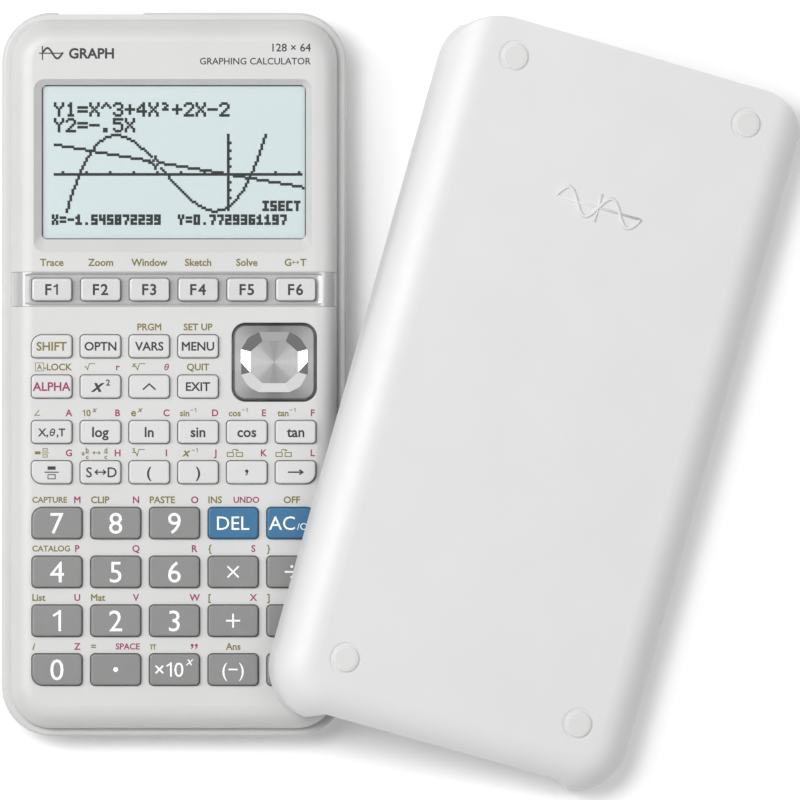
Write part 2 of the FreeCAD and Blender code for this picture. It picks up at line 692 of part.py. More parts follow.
def make_board():
    """The main board with its soldered chips, capacitors and the two sockets of the top edge."""
    low, thick = size("board_low"), size("board_thick")
    body = new_body("bare_board")
    half = size("board_width") * 0.5
    strip_left, strip_right, strip_end, head = -30.2, -23.2, -5.0, 83.9
    outline = new_sketch(body, "board_outline", z=low)
    draw_polygon(
        outline,
        [
            (-half, size("board_foot")), (half, size("board_foot")), (half, size("board_head")),
            (strip_right, size("board_head")), (strip_right, 75.6), (strip_end, 75.6),
            (strip_end, head), (strip_left, head), (strip_left, size("board_head")),
            (-half, size("board_head")),
        ],
    )
    pad(body, outline, thick)
    parts = [body]
    chips = (
        ("processor", -6.0, -6.0, 13.0, 13.0, 1.4), ("memory", 12.0, -8.0, 8.0, 11.0, 1.1),
        ("display_driver", -22.0, 6.0, 9.0, 9.0, 1.2), ("flash", 12.0, -26.0, 10.0, 6.0, 1.0),
        ("regulator", 28.0, 10.0, 4.5, 4.0, 1.5), ("crystal", -16.0, -20.0, 3.2, 8.0, 2.4),
    )
    for name, x, y, width, depth, height in chips:
        parts.append(block(name, x, y, low - height, width, depth, height))
    for number, (x, y) in enumerate(((26.0, -4.0), (26.0, -14.0))):
        parts.append(part_object("Cylinder", f"capacitor_{number}", x, y, low - 5.0, Radius=2.5, Height=5.0))
    face = size("jack_face")
    neck = size("jack_neck")
    jack_body = block(
        "jack_body", size("jack_across"), face - neck - (size("jack_length") - neck) * 0.5,
        size("jack_level") - 2.5, 6.0, size("jack_length") - neck, 5.0,
    )
    collar = part_object(
        "Cylinder", "jack_collar", size("jack_across"), face - neck - 0.2, size("jack_level"),
        Radius=size("jack_collar"), Height=neck + 0.2,
    )
    bore = part_object(
        "Cylinder", "jack_bore", size("jack_across"), face - size("jack_length") - 1.0,
        size("jack_level"), Radius=size("jack_radius"), Height=size("jack_length") + 2.0,
    )
    outer = combine("Fuse", "jack_outside", Base=jack_body, Tool=lying(collar))
    parts.append(combine("Cut", "link_jack", Base=outer, Tool=lying(bore)))
    usb_face, depth = size("usb_face"), size("usb_depth")
    shell = block(
        "usb_outside", size("usb_across"), usb_face - depth * 0.5,
        size("usb_level") - size("usb_height") * 0.5, size("usb_width"), depth, size("usb_height"),
    )
    skin = size("usb_skin")
    room = block(
        "usb_room", size("usb_across"), usb_face - depth * 0.5 + 1.0,
        size("usb_level") - size("usb_height") * 0.5 + skin, size("usb_width") - skin * 2, depth,
        size("usb_height") - skin * 2,
    )
    tongue = block(
        "usb_tongue", size("usb_across"), usb_face - depth * 0.5,
        size("usb_level") - 0.1, size("usb_width") - 3.2, depth - 2.0, 0.8,
    )
    parts.append(combine("Cut", "usb_shell", Base=shell, Tool=room))
    parts.append(tongue)
    return combine("Compound", "main_board", Links=parts)


def make_mat():
    """The silicone key mat: one sheet with a collapsing dome under every key and pad side."""
    low = size("board_low") + size("board_thick")
    head, foot = size("board_head") - 0.4, size("board_foot") + 1.0
    sheet_box = block("mat_sheet", 0, (head + foot) * 0.5, low, size("mat_width"), head - foot, size("mat_thick"))
    places = [(across, level) for _, across, level, _, _ in KEYS]
    reach = 7.4
    for x, y in ((reach, 0), (-reach, 0), (0, reach), (0, -reach)):
        places.append((size("pad_across") + x, size("pad_along") + y))
    domes = []
    for number, (x, y) in enumerate(places):
        over_pad = number >= len(KEYS)
        height = size("dome_height") - (0.6 if over_pad else 0.0)
        domes.append(
            part_object(
                "Cone", f"dome_{number}", x, y, low + size("mat_thick") - 0.1,
                Radius1=size("dome_base") - 0.9, Radius2=size("dome_top") - 0.3, Height=height,
            )
        )
    return combine("MultiFuse", "key_mat", Shapes=[sheet_box, *domes])


# ---------------------------------------------------------------- rear case and battery bay


def screw_places():
    rows = (("screw_corner", "screw_head"), ("screw_side", "screw_waist"), ("screw_corner", "screw_foot"))
    return [(side * size(across), size(level)) for across, level in rows for side in (-1, 1)]


def make_rear_case():
    """The rear tray: rounded underside, the flange that the cover slides on, bay, bosses, ports."""
    body = new_body("rear_case")
    low, high, floor = size("flange_low"), size("flange_high") - size("seam"), size("rear_floor")
    tray = new_sketch(body, "tray")
    width, length, corner = size("shell_width"), size("shell_length"), size("shell_corner")
    draw_rounded(tray, width, length, corner)
    pad(body, tray, low)
    round_edges(body, size("rear_round"), at_height(0))
    flange = new_sketch(body, "flange", z=low)
    draw_rounded(flange, size("flange_width"), size("flange_length"), size("flange_corner"))
    pad(body, flange, high - low)
    outside = size("shell_width").value / 2 + 1.0
    far = size("shell_length").value / 2 + 1.0

    def on_rim(edge):
        box = edge.BoundBox
        return max(box.XMax, -box.XMin) > outside or max(box.YMax, -box.YMin) > far

    round_edges(body, size("flange_round"), both(at_height(high), on_rim))
    round_edges(body, size("flange_round"), both(at_height(low), on_rim))

    hollow = new_sketch(body, "hollow", z=high)
    wall = size("wall") * 2
    inner_corner = corner - size("wall")
    draw_rounded(hollow, width - wall, length - wall, inner_corner)
    pocket(body, hollow, high - low)
    lower_hollow = new_sketch(body, "lower_hollow", z=low)
    inset = wall + 3.0
    draw_rounded(lower_hollow, width - inset, length - inset, inner_corner - 1.5)
    pocket(body, lower_hollow, low - floor)

    bay_y = size("bay_level")
    rim = new_sketch(body, "bay_rim", y=bay_y, z=floor - 0.3)
    margin = size("bay_rim_margin") * 2
    draw_rounded(rim, size("bay_width") + margin, size("bay_length") + margin, 1.0)
    pad(body, rim, size("bay_rim") - floor + 0.3)
    walls = new_sketch(body, "bay_walls", y=bay_y, z=floor)
    thick = size("bay_wall") * 2
    draw_rounded(walls, size("bay_width") + thick, size("bay_length") + thick, 0.8)
    pad(body, walls, size("bay_roof") + size("bay_roof_thick") - floor)
    bay = new_sketch(body, "bay_room", y=bay_y, z=0)
    draw_rounded(bay, size("bay_width"), size("bay_length"), 0.5)
    pocket(body, bay, size("bay_roof"), upwards=True)
    seat = new_sketch(body, "door_seat", y=bay_y, z=0)
    gap = size("door_gap") * 2
    draw_rounded(seat, size("door_width") + gap, size("door_length") + gap, 1.5)
    pocket(body, seat, size("door_high") + 0.1, upwards=True)
    hinge = bay_y + size("door_length") * 0.5
    for number, side in enumerate((-1, 1)):
        slot = new_sketch(body, f"tab_slot_{number}", side * size("tab_across"), hinge + 0.2, 1.2)
        draw_rounded(slot, size("tab_width") + 1.0, 4.6, 0.3)
        pocket(body, slot, 3.2, upwards=True)

    posts = new_sketch(body, "screw_posts", z=floor - 0.3)
    seats = new_sketch(body, "screw_seats")
    holes = new_sketch(body, "screw_holes", z=size("screw_seat") - 0.5)
    for number, (x, y) in enumerate(screw_places()):
        draw_circle(posts, size("boss_radius") + 0.5, x, y, f"_{number}")
        draw_circle(seats, size("screw_head_radius") + 0.25, x, y, f"_{number}")
        draw_circle(holes, size("screw_radius") + 0.2, x, y, f"_{number}")
    pad(body, posts, size("boss_split") - 0.1 - floor + 0.3)
    pocket(body, seats, size("screw_seat"), upwards=True)
    pocket(body, holes, size("boss_split"), upwards=True)
    supports = new_sketch(body, "board_supports", z=floor - 0.2)
    for number, (x, y) in enumerate(((-33.0, -70.0), (33.0, -70.0), (-33.0, 0.0), (33.0, 0.0), (0.0, -34.0))):
        draw_circle(supports, 1.6, x, y, f"_{number}")
    pad(body, supports, size("board_low") - 0.05 - floor + 0.2)

    middle = (size("recess_left") + size("recess_right")) * 0.5
    reach = size("recess_right") - size("recess_left")
    recess = new_sketch(body, "port_recess", middle, size("flange_length") * 0.5 + 2.0, high + 1.0)
    draw_rounded(recess, reach, size("recess_depth") * 2 + 4.0, 0.4)
    pocket(body, recess, 6.0)
    face = -(size("flange_length") * 0.5 + 1.0)
    usb = new_sketch(
        body, "usb_port", size("usb_across"), size("usb_level"), face, plane="XZ_Plane"
    )
    draw_rounded(usb, size("usb_width") + 0.5, size("usb_height") + 0.5, 0.6)
    pocket(body, usb, 7.0, upwards=True)
    jack = new_sketch(
        body, "jack_port", size("jack_across"), size("jack_level"), face, plane="XZ_Plane"
    )
    draw_circle(jack, size("jack_collar") + 0.2)
    pocket(body, jack, 7.0, upwards=True)
    return body


def make_door():
    """The battery door, hooked at its head by two tabs, with a finger grip at its foot."""
    body = new_body("battery_cover")
    low, high = size("door_low"), size("door_high")
    half = size("door_length") * 0.5
    plate = new_sketch(body, "plate", z=low)
    draw_rounded(plate, size("door_width"), size("door_length"), 1.3)
    pad(body, plate, high - low)
    for number, side in enumerate((-1, 1)):
        across = side * size("tab_across")
        riser = new_sketch(body, f"tab_riser_{number}", across, half - 0.7, high - 0.3)
        draw_rounded(riser, size("tab_width"), 1.2, 0.2)
        pad(body, riser, size("tab_high") - high + 0.3)
        tab = new_sketch(body, f"tab_{number}", across, half + size("tab_reach") * 0.5 - 0.4, size("tab_low"))
        draw_rounded(tab, size("tab_width"), size("tab_reach") + 0.6, 0.2)
        pad(body, tab, size("tab_high") - size("tab_low"))
    for number in range(5):
        groove = new_sketch(body, f"grip_{number}", 0, -half + 3.0 + number * 1.6, low)
        draw_rounded(groove, 14.0 - number * 1.6, 0.8, 0.3)
        pocket(body, groove, 0.45, upwards=True)
    return put(body, y=size("bay_level"))


def make_batteries():
    """Four slim cells side by side, alternately head up and head down."""
    cells = []
    slack = size("bay_length") - size("plate_thick") * 2 - size("battery_length") - size("battery_nub")
    foot = size("bay_level") - size("bay_length") * 0.5 + size("plate_thick")
    for number in range(4):
        across = size("battery_pitch") * (number - 1.5)
        head_up = number % 2 == 0
        start = foot + slack if head_up else foot + size("battery_nub")
        can = part_object(
            "Cylinder", f"can_{number}", across, start, size("battery_height"),
            Radius=size("battery_radius"), Height=size("battery_length"),
        )
        nub_start = start + size("battery_length") - 0.2 if head_up else start - size("battery_nub")
        nub = part_object(
            "Cylinder", f"nub_{number}", across, nub_start, size("battery_height"),
            Radius=size("nub_radius"), Height=size("battery_nub") + 0.2,
        )
        cells.append(combine("Fuse", f"cell_{number}", Base=lying(can), Tool=lying(nub)))
    return combine("Compound", "batteries", Links=cells)


def make_contacts():
    """Sprung contacts: plates at both ends of the bay, a coil spring at each cell's flat end."""
    pieces = []
    pitch, thick = size("battery_pitch"), size("plate_thick")
    foot = size("bay_level") - size("bay_length") * 0.5
    head = size("bay_level") + size("bay_length") * 0.5
    span = size("plate_size")
    base = size("battery_height") - span * 0.5
    for name, low, high, y in (
        ("first", 0, 0, foot), ("foot_link", 1, 2, foot), ("last", 3, 3, foot),
        ("left_link", 0, 1, head - thick), ("right_link", 2, 3, head - thick),
    ):
        middle = pitch * ((low + high) / 2 - 1.5)
        width = span + pitch * (high - low)
        pieces.append(block(f"plate_{name}", middle, y + thick * 0.5, base, width, thick, span))
    turns, wire, radius = 4.0, 0.3, 3.0
    slack = size("bay_length") - thick * 2 - size("battery_length") - size("battery_nub")
    rise = slack.value - 0.1 - 2 * wire
    for number in range(4):
        at_foot = number % 2 == 0
        helix = Part.makeHelix(rise / turns, rise, radius)
        start = helix.Vertexes[0].Point
        section = Part.Wire(Part.makeCircle(wire, start, Vector(0, 1, 0)))
        coil = Part.Wire(helix).makePipeShell([section], True, True)
        spring = doc.addObject("Part::Feature", f"spring_{number}")
        spring.Shape = coil
        x = pitch.value * (number - 1.5)
        start_y = foot.value + thick.value + wire if at_foot else head.value - thick.value - wire
        turn = Rotation(Vector(1, 0, 0), -90 if at_foot else 90)
        spring.Placement = Placement(Vector(x, start_y, DRIVING["battery_height"]), turn)
        pieces.append(spring)
    return combine("Compound", "battery_contacts", Links=pieces)


def make_screws():
    """Six self-tapping screws, driven in from the back."""
    screws = []
    for number, (x, y) in enumerate(screw_places()):
        seat, thick = size("screw_seat"), size("screw_head_thick")
        head = part_object(
            "Cylinder", f"screw_head_{number}", x, y, seat - thick,
            Radius=size("screw_head_radius"), Height=thick,
        )
        shank = part_object(
            "Cylinder", f"shank_{number}", x, y, seat - 0.2,
            Radius=size("screw_radius"), Height=size("screw_length"),
        )
        blank = combine("Fuse", f"screw_blank_{number}", Base=head, Tool=shank)
        first = block(f"slot_a_{number}", x, y, seat - thick - 0.5, 2.4, 0.5, 1.2)
        second = block(f"slot_b_{number}", x, y, seat - thick - 0.5, 0.5, 2.4, 1.2)
        cross = combine("Fuse", f"cross_{number}", Base=first, Tool=second)
        screws.append(combine("Cut", f"screw_{number}", Base=blank, Tool=cross))
    return combine("Compound", "case_screws", Links=screws)


# ---------------------------------------------------------------- hard cover


def make_cover():
    """The loose hard cover: a long rounded channel, open at its head, with feet on its face."""
    body = new_body("cover_outside")
    width, length, depth = size("cover_width"), size("cover_length"), size("cover_depth")
    run_out = size("cover_run_out")
    blank = new_sketch(body, "blank", y=run_out * 0.5, z=-depth)
    draw_rounded(blank, width, length + run_out, size("cover_corner"))
    pad(body, blank, depth)
    round_edges(body, size("cover_round"), at_height(0))
    trim = new_sketch(body, "plan_outline", z=1.0)
    draw_rounded(trim, width, length, size("cover_corner"))
    draw_rounded(trim, width + 60.0, length + run_out * 2 + 60.0, 2.0, tag="_frame")
    pocket(body, trim, depth + 2.0)
    notch = new_sketch(body, "finger_notch", z=1.0)
    end, half = -(length * 0.5), size("notch_half")
    slope, rise = size("notch_slope"), size("notch_depth")
    draw_polygon(
        notch,
        [
            (-half - slope, end - 3.0), (half + slope, end - 3.0), (half + slope, end),
            (half, end + rise), (-half, end + rise), (-half - slope, end),
        ],
    )
    pocket(body, notch, depth + 2.0)
    # the side walls sweep up to the face at the open end
    sweep, lift, head, turns = size("wall_sweep"), size("wall_rise"), length * 0.5, 6
    walls = new_sketch(body, "wall_ends", z=width * 0.5 + 1.0, plane="YZ_Plane")
    curve = [math.radians(90 * step / turns) for step in range(turns + 1)]
    arc = [
        (head - sweep * (1 - math.sin(turn)), lift * (1 - math.cos(turn)) - depth) for turn in curve
    ]
    draw_polygon(
        walls,
        [(head - sweep, -depth - 1.0)] + arc
        + [(head + 3.0, lift - depth), (head + 3.0, -depth - 1.0)],
    )
    pocket(body, walls, width + 2.0)

    feet = new_sketch(body, "feet", y=size("foot_shift"), z=-0.5)
    grooves = new_sketch(body, "foot_grooves", y=size("foot_shift"), z=0.5)
    for number, (sx, sy) in enumerate(((-1, -1), (1, -1), (-1, 1), (1, 1))):
        x, y = sx * (size("foot_across") * 0.5), sy * (size("foot_along") * 0.5)
        draw_circle(grooves, size("groove_outer"), x, y, f"_out{number}")
        draw_circle(grooves, size("groove_inner"), x, y, f"_in{number}")
        draw_circle(feet, size("foot_radius"), x, y, f"_{number}")
    pocket(body, grooves, size("groove_depth") + 0.5)
    pad(body, feet, size("foot_rise") + 0.5)
    round_edges(body, 0.15, at_height(size("foot_rise")))

    room = new_body("cover_room")
    skin, lip, end_wall = size("cover_skin"), size("cover_lip"), size("cover_end")
    inside_length = length - end_wall + run_out
    middle = (end_wall + run_out) * 0.5
    hollow = new_sketch(room, "hollow", y=middle, z=-depth + lip)
    side_wall = (width - size("cover_inside")) * 0.5
    corner = size("cover_corner") - side_wall
    draw_rounded(hollow, size("cover_inside"), inside_length, corner)
    pad(room, hollow, depth - lip - skin)
    round_edges(room, size("cover_round") - skin, at_height(-skin))
    mouth = new_sketch(room, "mouth", y=middle, z=-depth - 1.0)
    overlap = size("cover_inside") - size("cover_mouth")
    draw_rounded(mouth, size("cover_mouth"), inside_length - overlap, corner - overlap * 0.5)
    pad(room, mouth, lip + 1.5)
    cover = combine("Cut", "slide_cover", Base=body, Tool=room)
    turn = Rotation(Vector(0, 0, 1), DRIVING["cover_turn"])
    tilt = Rotation(Vector(0, 1, 0), DRIVING["cover_tilt"])
    cover.Placement = Placement(Vector(), turn.multiply(tilt))
    return put(cover, size("cover_x"), size("cover_y"), size("cover_z"))


# ---------------------------------------------------------------- build, check and write


def main():
    sub_parts = [
        make_front_case(), make_strip(), make_window(), make_display(), make_cursor_pad(),
        make_cursor_pivot(), make_mat(), make_board(), make_rear_case(), make_door(),
        make_batteries(), make_contacts(), make_screws(), make_cover(),
    ]
    sub_parts += [make_key(*row) for row in KEYS]
    doc.recompute()
    for thing in doc.Objects:
        if any(word in thing.State for word in ("Invalid", "Error")):
            raise RuntimeError(f"{thing.Label} is {thing.State}")
    os.makedirs("parts", exist_ok=True)
    for part in sub_parts:
        shape = part.Shape
        if shape.isNull() or not shape.isValid() or shape.Volume <= 0:
            raise RuntimeError(f"{part.Label} has a bad shape")
        shape.exportStep(f"parts/{part.Label}.step")
        print(f"{part.Label}: {len(shape.Solids)} solid(s), {shape.Volume:.1f} mm3")


main()
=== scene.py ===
"""The looks of a graphing calculator and its loose hard cover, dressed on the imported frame.

Lengths are metres in the frame of the part: +X to the right, +Y towards the display, +Z out of
the keys.
"""

import json
import math

import bmesh
import bpy
from mathutils import Matrix, Vector


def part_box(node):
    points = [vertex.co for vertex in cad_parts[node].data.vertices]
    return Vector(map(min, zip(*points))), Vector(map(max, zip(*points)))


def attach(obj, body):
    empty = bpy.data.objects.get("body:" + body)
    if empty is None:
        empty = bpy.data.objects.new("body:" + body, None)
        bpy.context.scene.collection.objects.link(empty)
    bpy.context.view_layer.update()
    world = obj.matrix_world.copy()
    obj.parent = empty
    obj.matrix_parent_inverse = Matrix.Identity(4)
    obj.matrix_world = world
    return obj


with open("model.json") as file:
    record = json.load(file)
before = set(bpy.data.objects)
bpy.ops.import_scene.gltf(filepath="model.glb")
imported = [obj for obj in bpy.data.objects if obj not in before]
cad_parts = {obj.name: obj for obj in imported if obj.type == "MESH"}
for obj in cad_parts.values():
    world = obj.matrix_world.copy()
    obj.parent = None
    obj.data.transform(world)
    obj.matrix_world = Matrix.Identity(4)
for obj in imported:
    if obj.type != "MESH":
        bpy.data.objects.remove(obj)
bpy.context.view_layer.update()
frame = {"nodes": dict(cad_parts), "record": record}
nodes = frame["nodes"]

MM = 0.001
CASE_TOP = 17.0 * MM  # the flat of the front case
PAD_PLATE_TOP = 17.36 * MM  # the highest point of the cursor pad's plate
BOARD_LOW = 9.6 * MM
PRINT = 0.03 * MM  # thickness of printed ink
SINK = 0.008 * MM  # how far the ink goes into the face below it

# ---------------------------------------------------------------- finishes

WHITE = (0.565, 0.565, 0.56, 1)
COVER_WHITE = (0.68, 0.68, 0.68, 1)
KEY_WHITE = (0.58, 0.58, 0.578, 1)
KEY_GREY = (0.212, 0.212, 0.21, 1)
KEY_BLUE = (0.021, 0.13, 0.265, 1)
INK_DARK = (0.022, 0.022, 0.024, 1)
INK_WHITE = (0.9, 0.9, 0.9, 1)
INK_GOLD = (0.175, 0.15, 0.018, 1)
INK_MAGENTA = (0.29, 0.022, 0.1, 1)


class Finish:
    """A node material under construction: shorthand for adding and linking nodes."""

    def __init__(self, name):
        self.material = bpy.data.materials.new(name)
        self.material.use_nodes = True
        self.tree = self.material.node_tree
        self.shader = self.tree.nodes["Principled BSDF"]
        self.coordinates = self.tree.nodes.new("ShaderNodeTexCoord").outputs["Object"]

    def node(self, kind, **settings):
        """Adds a node; each setting is one of its inputs or one of its properties."""
        new = self.tree.nodes.new(kind)
        for name, value in settings.items():
            if name in new.inputs:
                new.inputs[name].default_value = value
            else:
                setattr(new, name, value)
        return new

    def link(self, output, target):
        self.tree.links.new(output, target)

    def set(self, **sockets):
        """Sets constant inputs of the shader; an underscore stands for a space."""
        for name, value in sockets.items():
            self.shader.inputs[name.replace("_", " ")].default_value = value

    def noise(self, scale, detail=2.0, stretch=None):
        """A noise value; scale is in features per metre, and stretch squeezes it along an axis."""
        texture = self.node("ShaderNodeTexNoise", Scale=scale, Detail=detail)
        if stretch is None:
            self.link(self.coordinates, texture.inputs["Vector"])
        else:
            mapping = self.node("ShaderNodeMapping", Scale=stretch)
            self.link(self.coordinates, mapping.inputs["Vector"])
            self.link(mapping.outputs["Vector"], texture.inputs["Vector"])
        return texture.outputs["Fac"]

    def spread(self, value, low, high, low_in=0.3, high_in=0.7):
        """Maps a noise value onto a range."""
        ranged = self.node("ShaderNodeMapRange")
        ranged.inputs["From Min"].default_value = low_in
        ranged.inputs["From Max"].default_value = high_in
        ranged.inputs["To Min"].default_value = low
        ranged.inputs["To Max"].default_value = high
        self.link(value, ranged.inputs["Value"])
        return ranged.outputs["Result"]

    def mix(self, factor, first, second):
        """Blends two colours; each is a colour value or an output."""
        blend = self.node("ShaderNodeMix", data_type="RGBA")
        self.link(factor, blend.inputs["Factor"])
        for socket, colour in ((blend.inputs["A"], first), (blend.inputs["B"], second)):
            if isinstance(colour, tuple):
                socket.default_value = colour
            else:
                self.link(colour, socket)
        return blend.outputs["Result"]

    def math(self, operation, first, second=0.0):
        """One sum on two values; each is a number or an output."""
        step = self.node("ShaderNodeMath", operation=operation)
        for socket, value in zip(step.inputs, (first, second)):
            if isinstance(value, float):
                socket.default_value = value
            else:
                self.link(value, socket)
        return step.outputs["Value"]

    def height(self):
        """The Z coordinate of the point."""
        apart = self.node("ShaderNodeSeparateXYZ")
        self.link(self.coordinates, apart.inputs["Vector"])
        return apart.outputs["Z"]

    def grain(self, scale, strength, distance, stretch=None):
        """A fine bump, as of a moulded or brushed surface."""
        bump = self.node("ShaderNodeBump", Strength=strength, Distance=distance)
        self.link(self.noise(scale, 3.0, stretch), bump.inputs["Height"])
        self.link(bump.outputs["Normal"], self.shader.inputs["Normal"])


def moulded(
    name, colour, roughness, grain_scale=4500.0, grain=0.12, mottle=0.03, coat=0.0, specular=0.5
):
    """Moulded plastic: a fine spark-eroded grain, slight unevenness of colour and of shine."""
    finish = Finish(name)
    dull = tuple(c * (1 - mottle) for c in colour[:3]) + (1,)
    tint = finish.mix(finish.spread(finish.noise(60.0), 0.0, 1.0), colour, dull)
    finish.link(tint, finish.shader.inputs["Base Color"])
    shine = finish.spread(finish.noise(350.0), roughness - 0.04, roughness + 0.05)
    finish.link(shine, finish.shader.inputs["Roughness"])
    finish.set(IOR=1.47, Coat_Weight=coat, Coat_Roughness=0.12, Specular_IOR_Level=specular)
    finish.grain(grain_scale, grain, 0.00002)
    return finish.material


def printed(name, colour):
    """Pad-printed ink: slightly uneven in shine and density."""
    return moulded(name, colour, 0.5, grain_scale=9000.0, grain=0.05, mottle=0.12)


def metal(name, colour, roughness, scratch_scale, stretch):
    """Plated or rolled metal with fine scratches along one direction."""
    finish = Finish(name)
    dull = tuple(c * 0.85 for c in colour[:3]) + (1,)
    streaks = finish.noise(scratch_scale, 2.0, stretch)
    finish.link(finish.mix(streaks, colour, dull), finish.shader.inputs["Base Color"])
    shine = finish.spread(streaks, roughness - 0.05, roughness + 0.08)
    finish.link(shine, finish.shader.inputs["Roughness"])
    finish.set(Metallic=1.0)
    finish.grain(scratch_scale, 0.1, 0.00002, stretch)
    return finish.material


def pad_silver(centre, plate_top, table_top):
    """The rocker: a satin plate, polished facets, and a spun table, with a painted highlight in two
    opposite fans on the plate and the table.
    """
    finish = Finish("pad_silver")
    mapping = finish.node("ShaderNodeMapping", vector_type="POINT")
    mapping.inputs["Location"].default_value = -centre
    finish.link(finish.coordinates, mapping.inputs["Vector"])
    apart = finish.node("ShaderNodeSeparateXYZ")
    finish.link(mapping.outputs["Vector"], apart.inputs["Vector"])
    across, along, height = (apart.outputs[axis] for axis in "XYZ")
    above_plate = finish.math("GREATER_THAN", height, plate_top)
    on_table = finish.math("GREATER_THAN", height, table_top)
    turn = finish.math("ARCTAN2", along, across)
    # painted highlight: the colour of the plate and the table is lighter in two opposite fans
    # around the middle, with finer ripples, in place of the lamps' reflection in their grain
    painted_highlight_fan = finish.math("COSINE", finish.math("MULTIPLY", turn, 2.0))
    painted_highlight_ripple = finish.math("COSINE", finish.math("MULTIPLY", turn, 10.0))
    painted_highlight_ripple = finish.math("MULTIPLY", painted_highlight_ripple, 0.16)
    painted_highlight_fan = finish.spread(finish.math("ADD", painted_highlight_fan, painted_highlight_ripple), 0.0, 1.0, -1.0, 1.0)
    squares = [finish.math("MULTIPLY", way, way) for way in (across, along)]
    distance = finish.math("SQRT", finish.math("ADD", *squares))
    rings = finish.node("ShaderNodeTexNoise", noise_dimensions="1D", Scale=7000.0, Detail=2.0)
    finish.link(distance, rings.inputs["W"])
    ring_share = finish.spread(rings.outputs["Fac"], 0.0, 0.3)
    # table and plate colours: the painted highlight across the fan, then darker in the spun rings
    table = finish.mix(painted_highlight_fan, (0.33, 0.33, 0.335, 1), (0.6, 0.6, 0.6, 1))
    table = finish.mix(ring_share, table, (0.22, 0.22, 0.22, 1))
    plate = finish.mix(painted_highlight_fan, (0.2, 0.2, 0.204, 1), (0.46, 0.46, 0.465, 1))
    plate = finish.mix(ring_share, plate, (0.13, 0.13, 0.13, 1))
    colour = finish.mix(above_plate, plate, (0.8, 0.8, 0.81, 1))
    finish.link(finish.mix(on_table, colour, table), finish.shader.inputs["Base Color"])
    plate_shine = finish.math("MULTIPLY", finish.math("SUBTRACT", 1.0, above_plate), 0.26)
    table_shine = finish.math("MULTIPLY", on_table, 0.24)
    shine = finish.math("ADD", finish.math("ADD", plate_shine, table_shine), 0.05)
    finish.link(shine, finish.shader.inputs["Roughness"])
    finish.set(Metallic=1.0)
    return finish.material


def clear_pane():
    """The display window: clear acrylic, seen through, with a gloss that shows faint wipe marks."""
    finish = Finish("window_clear")
    tint = finish.mix(finish.noise(120.0), (0.93, 0.97, 0.97, 1), (0.88, 0.94, 0.94, 1))
    finish.link(tint, finish.shader.inputs["Base Color"])
    shine = finish.spread(finish.noise(90.0), 0.03, 0.09)
    finish.link(shine, finish.shader.inputs["Roughness"])
    finish.set(Alpha=0.025, IOR=1.49)
    return finish.material


def display_film():
    """The grey-green reflective film of the display."""
    finish = Finish("display_grey")
    tint = finish.mix(finish.noise(40.0), (0.5, 0.585, 0.595, 1), (0.485, 0.57, 0.58, 1))
    finish.link(tint, finish.shader.inputs["Base Color"])
    shine = finish.spread(finish.noise(2500.0), 0.32, 0.42)
    finish.link(shine, finish.shader.inputs["Roughness"])
    finish.grain(7000.0, 0.05, 0.00001)
    return finish.material


def battery_sleeve(low, high):
    """Shrink sleeve in two plain colours, with a bare metal end; the cells lie from low to high."""
    dark_share, bare_end = 0.68, 1.2 * MM
    finish = Finish("cell_sleeve")
    apart = finish.node("ShaderNodeSeparateXYZ")
    finish.link(finish.coordinates, apart.inputs["Vector"])
    along = apart.outputs["Y"]
    band = finish.math("GREATER_THAN", along, low + (high - low) * dark_share)
    ends = finish.math("GREATER_THAN", along, high - bare_end)
    colour = finish.mix(band, (0.02, 0.022, 0.026, 1), (0.42, 0.2, 0.07, 1))
    colour = finish.mix(ends, colour, (0.6, 0.6, 0.6, 1))
    finish.link(colour, finish.shader.inputs["Base Color"])
    shine = finish.spread(finish.noise(200.0), 0.22, 0.32)
    finish.link(shine, finish.shader.inputs["Roughness"])
    finish.set(Metallic=0.6)
    return finish.material


def board_mask(board_low):
    """Green solder mask above, dark moulded chips and sockets below the board."""
    finish = Finish("board_green")
    below = finish.math("LESS_THAN", finish.height(), board_low - 0.01 * MM)
    traces = finish.node("ShaderNodeTexBrick", Scale=220.0)
    traces.inputs["Color1"].default_value = (0.02, 0.16, 0.06, 1)
    traces.inputs["Color2"].default_value = (0.025, 0.2, 0.08, 1)
    traces.inputs["Mortar"].default_value = (0.04, 0.26, 0.11, 1)
    finish.link(finish.coordinates, traces.inputs["Vector"])
    colour = finish.mix(below, traces.outputs["Color"], (0.05, 0.05, 0.055, 1))
    finish.link(colour, finish.shader.inputs["Base Color"])
    finish.link(finish.spread(finish.noise(300.0), 0.25, 0.4), finish.shader.inputs["Roughness"])
    return finish.material


def slot_of(name):
    """The material slot that the record gives a node."""
    return next(s for s in frame["record"]["subparts"] if s["node"] == name)["material_slot"]


def dress(node, material):
    """Gives a carried-over node its finish."""
    node.data.materials.clear()
    node.data.materials.append(material)


case_white = moulded("case_white", WHITE, 0.42, grain=0.1, coat=0.08)
cover_white = moulded("cover_white", COVER_WHITE, 0.46, grain=0.16, mottle=0.02)
gloss_white = moulded("gloss_white", (0.42, 0.42, 0.423, 1), 0.1, grain=0.0, mottle=0.02, coat=1.0)
key_light = moulded("key_light", KEY_WHITE, 0.36, grain=0.05, coat=0.15)
key_grey = moulded("key_grey", KEY_GREY, 0.36, grain=0.05, coat=0.15)
key_blue = moulded("key_blue", KEY_BLUE, 0.36, grain=0.05, coat=0.15)
soft_key = moulded("key_gloss_light", KEY_WHITE, 0.22, grain=0.0, coat=0.5)
rubber_grey = moulded("rubber_grey", (0.26, 0.27, 0.28, 1), 0.7, grain=0.2)
foot_rubber = moulded("foot_rubber", (0.66, 0.66, 0.655, 1), 0.62, grain=0.25)
ink_dark = printed("ink_dark", INK_DARK)
ink_white = printed("ink_white", INK_WHITE)
ink_gold = printed("ink_gold", INK_GOLD)
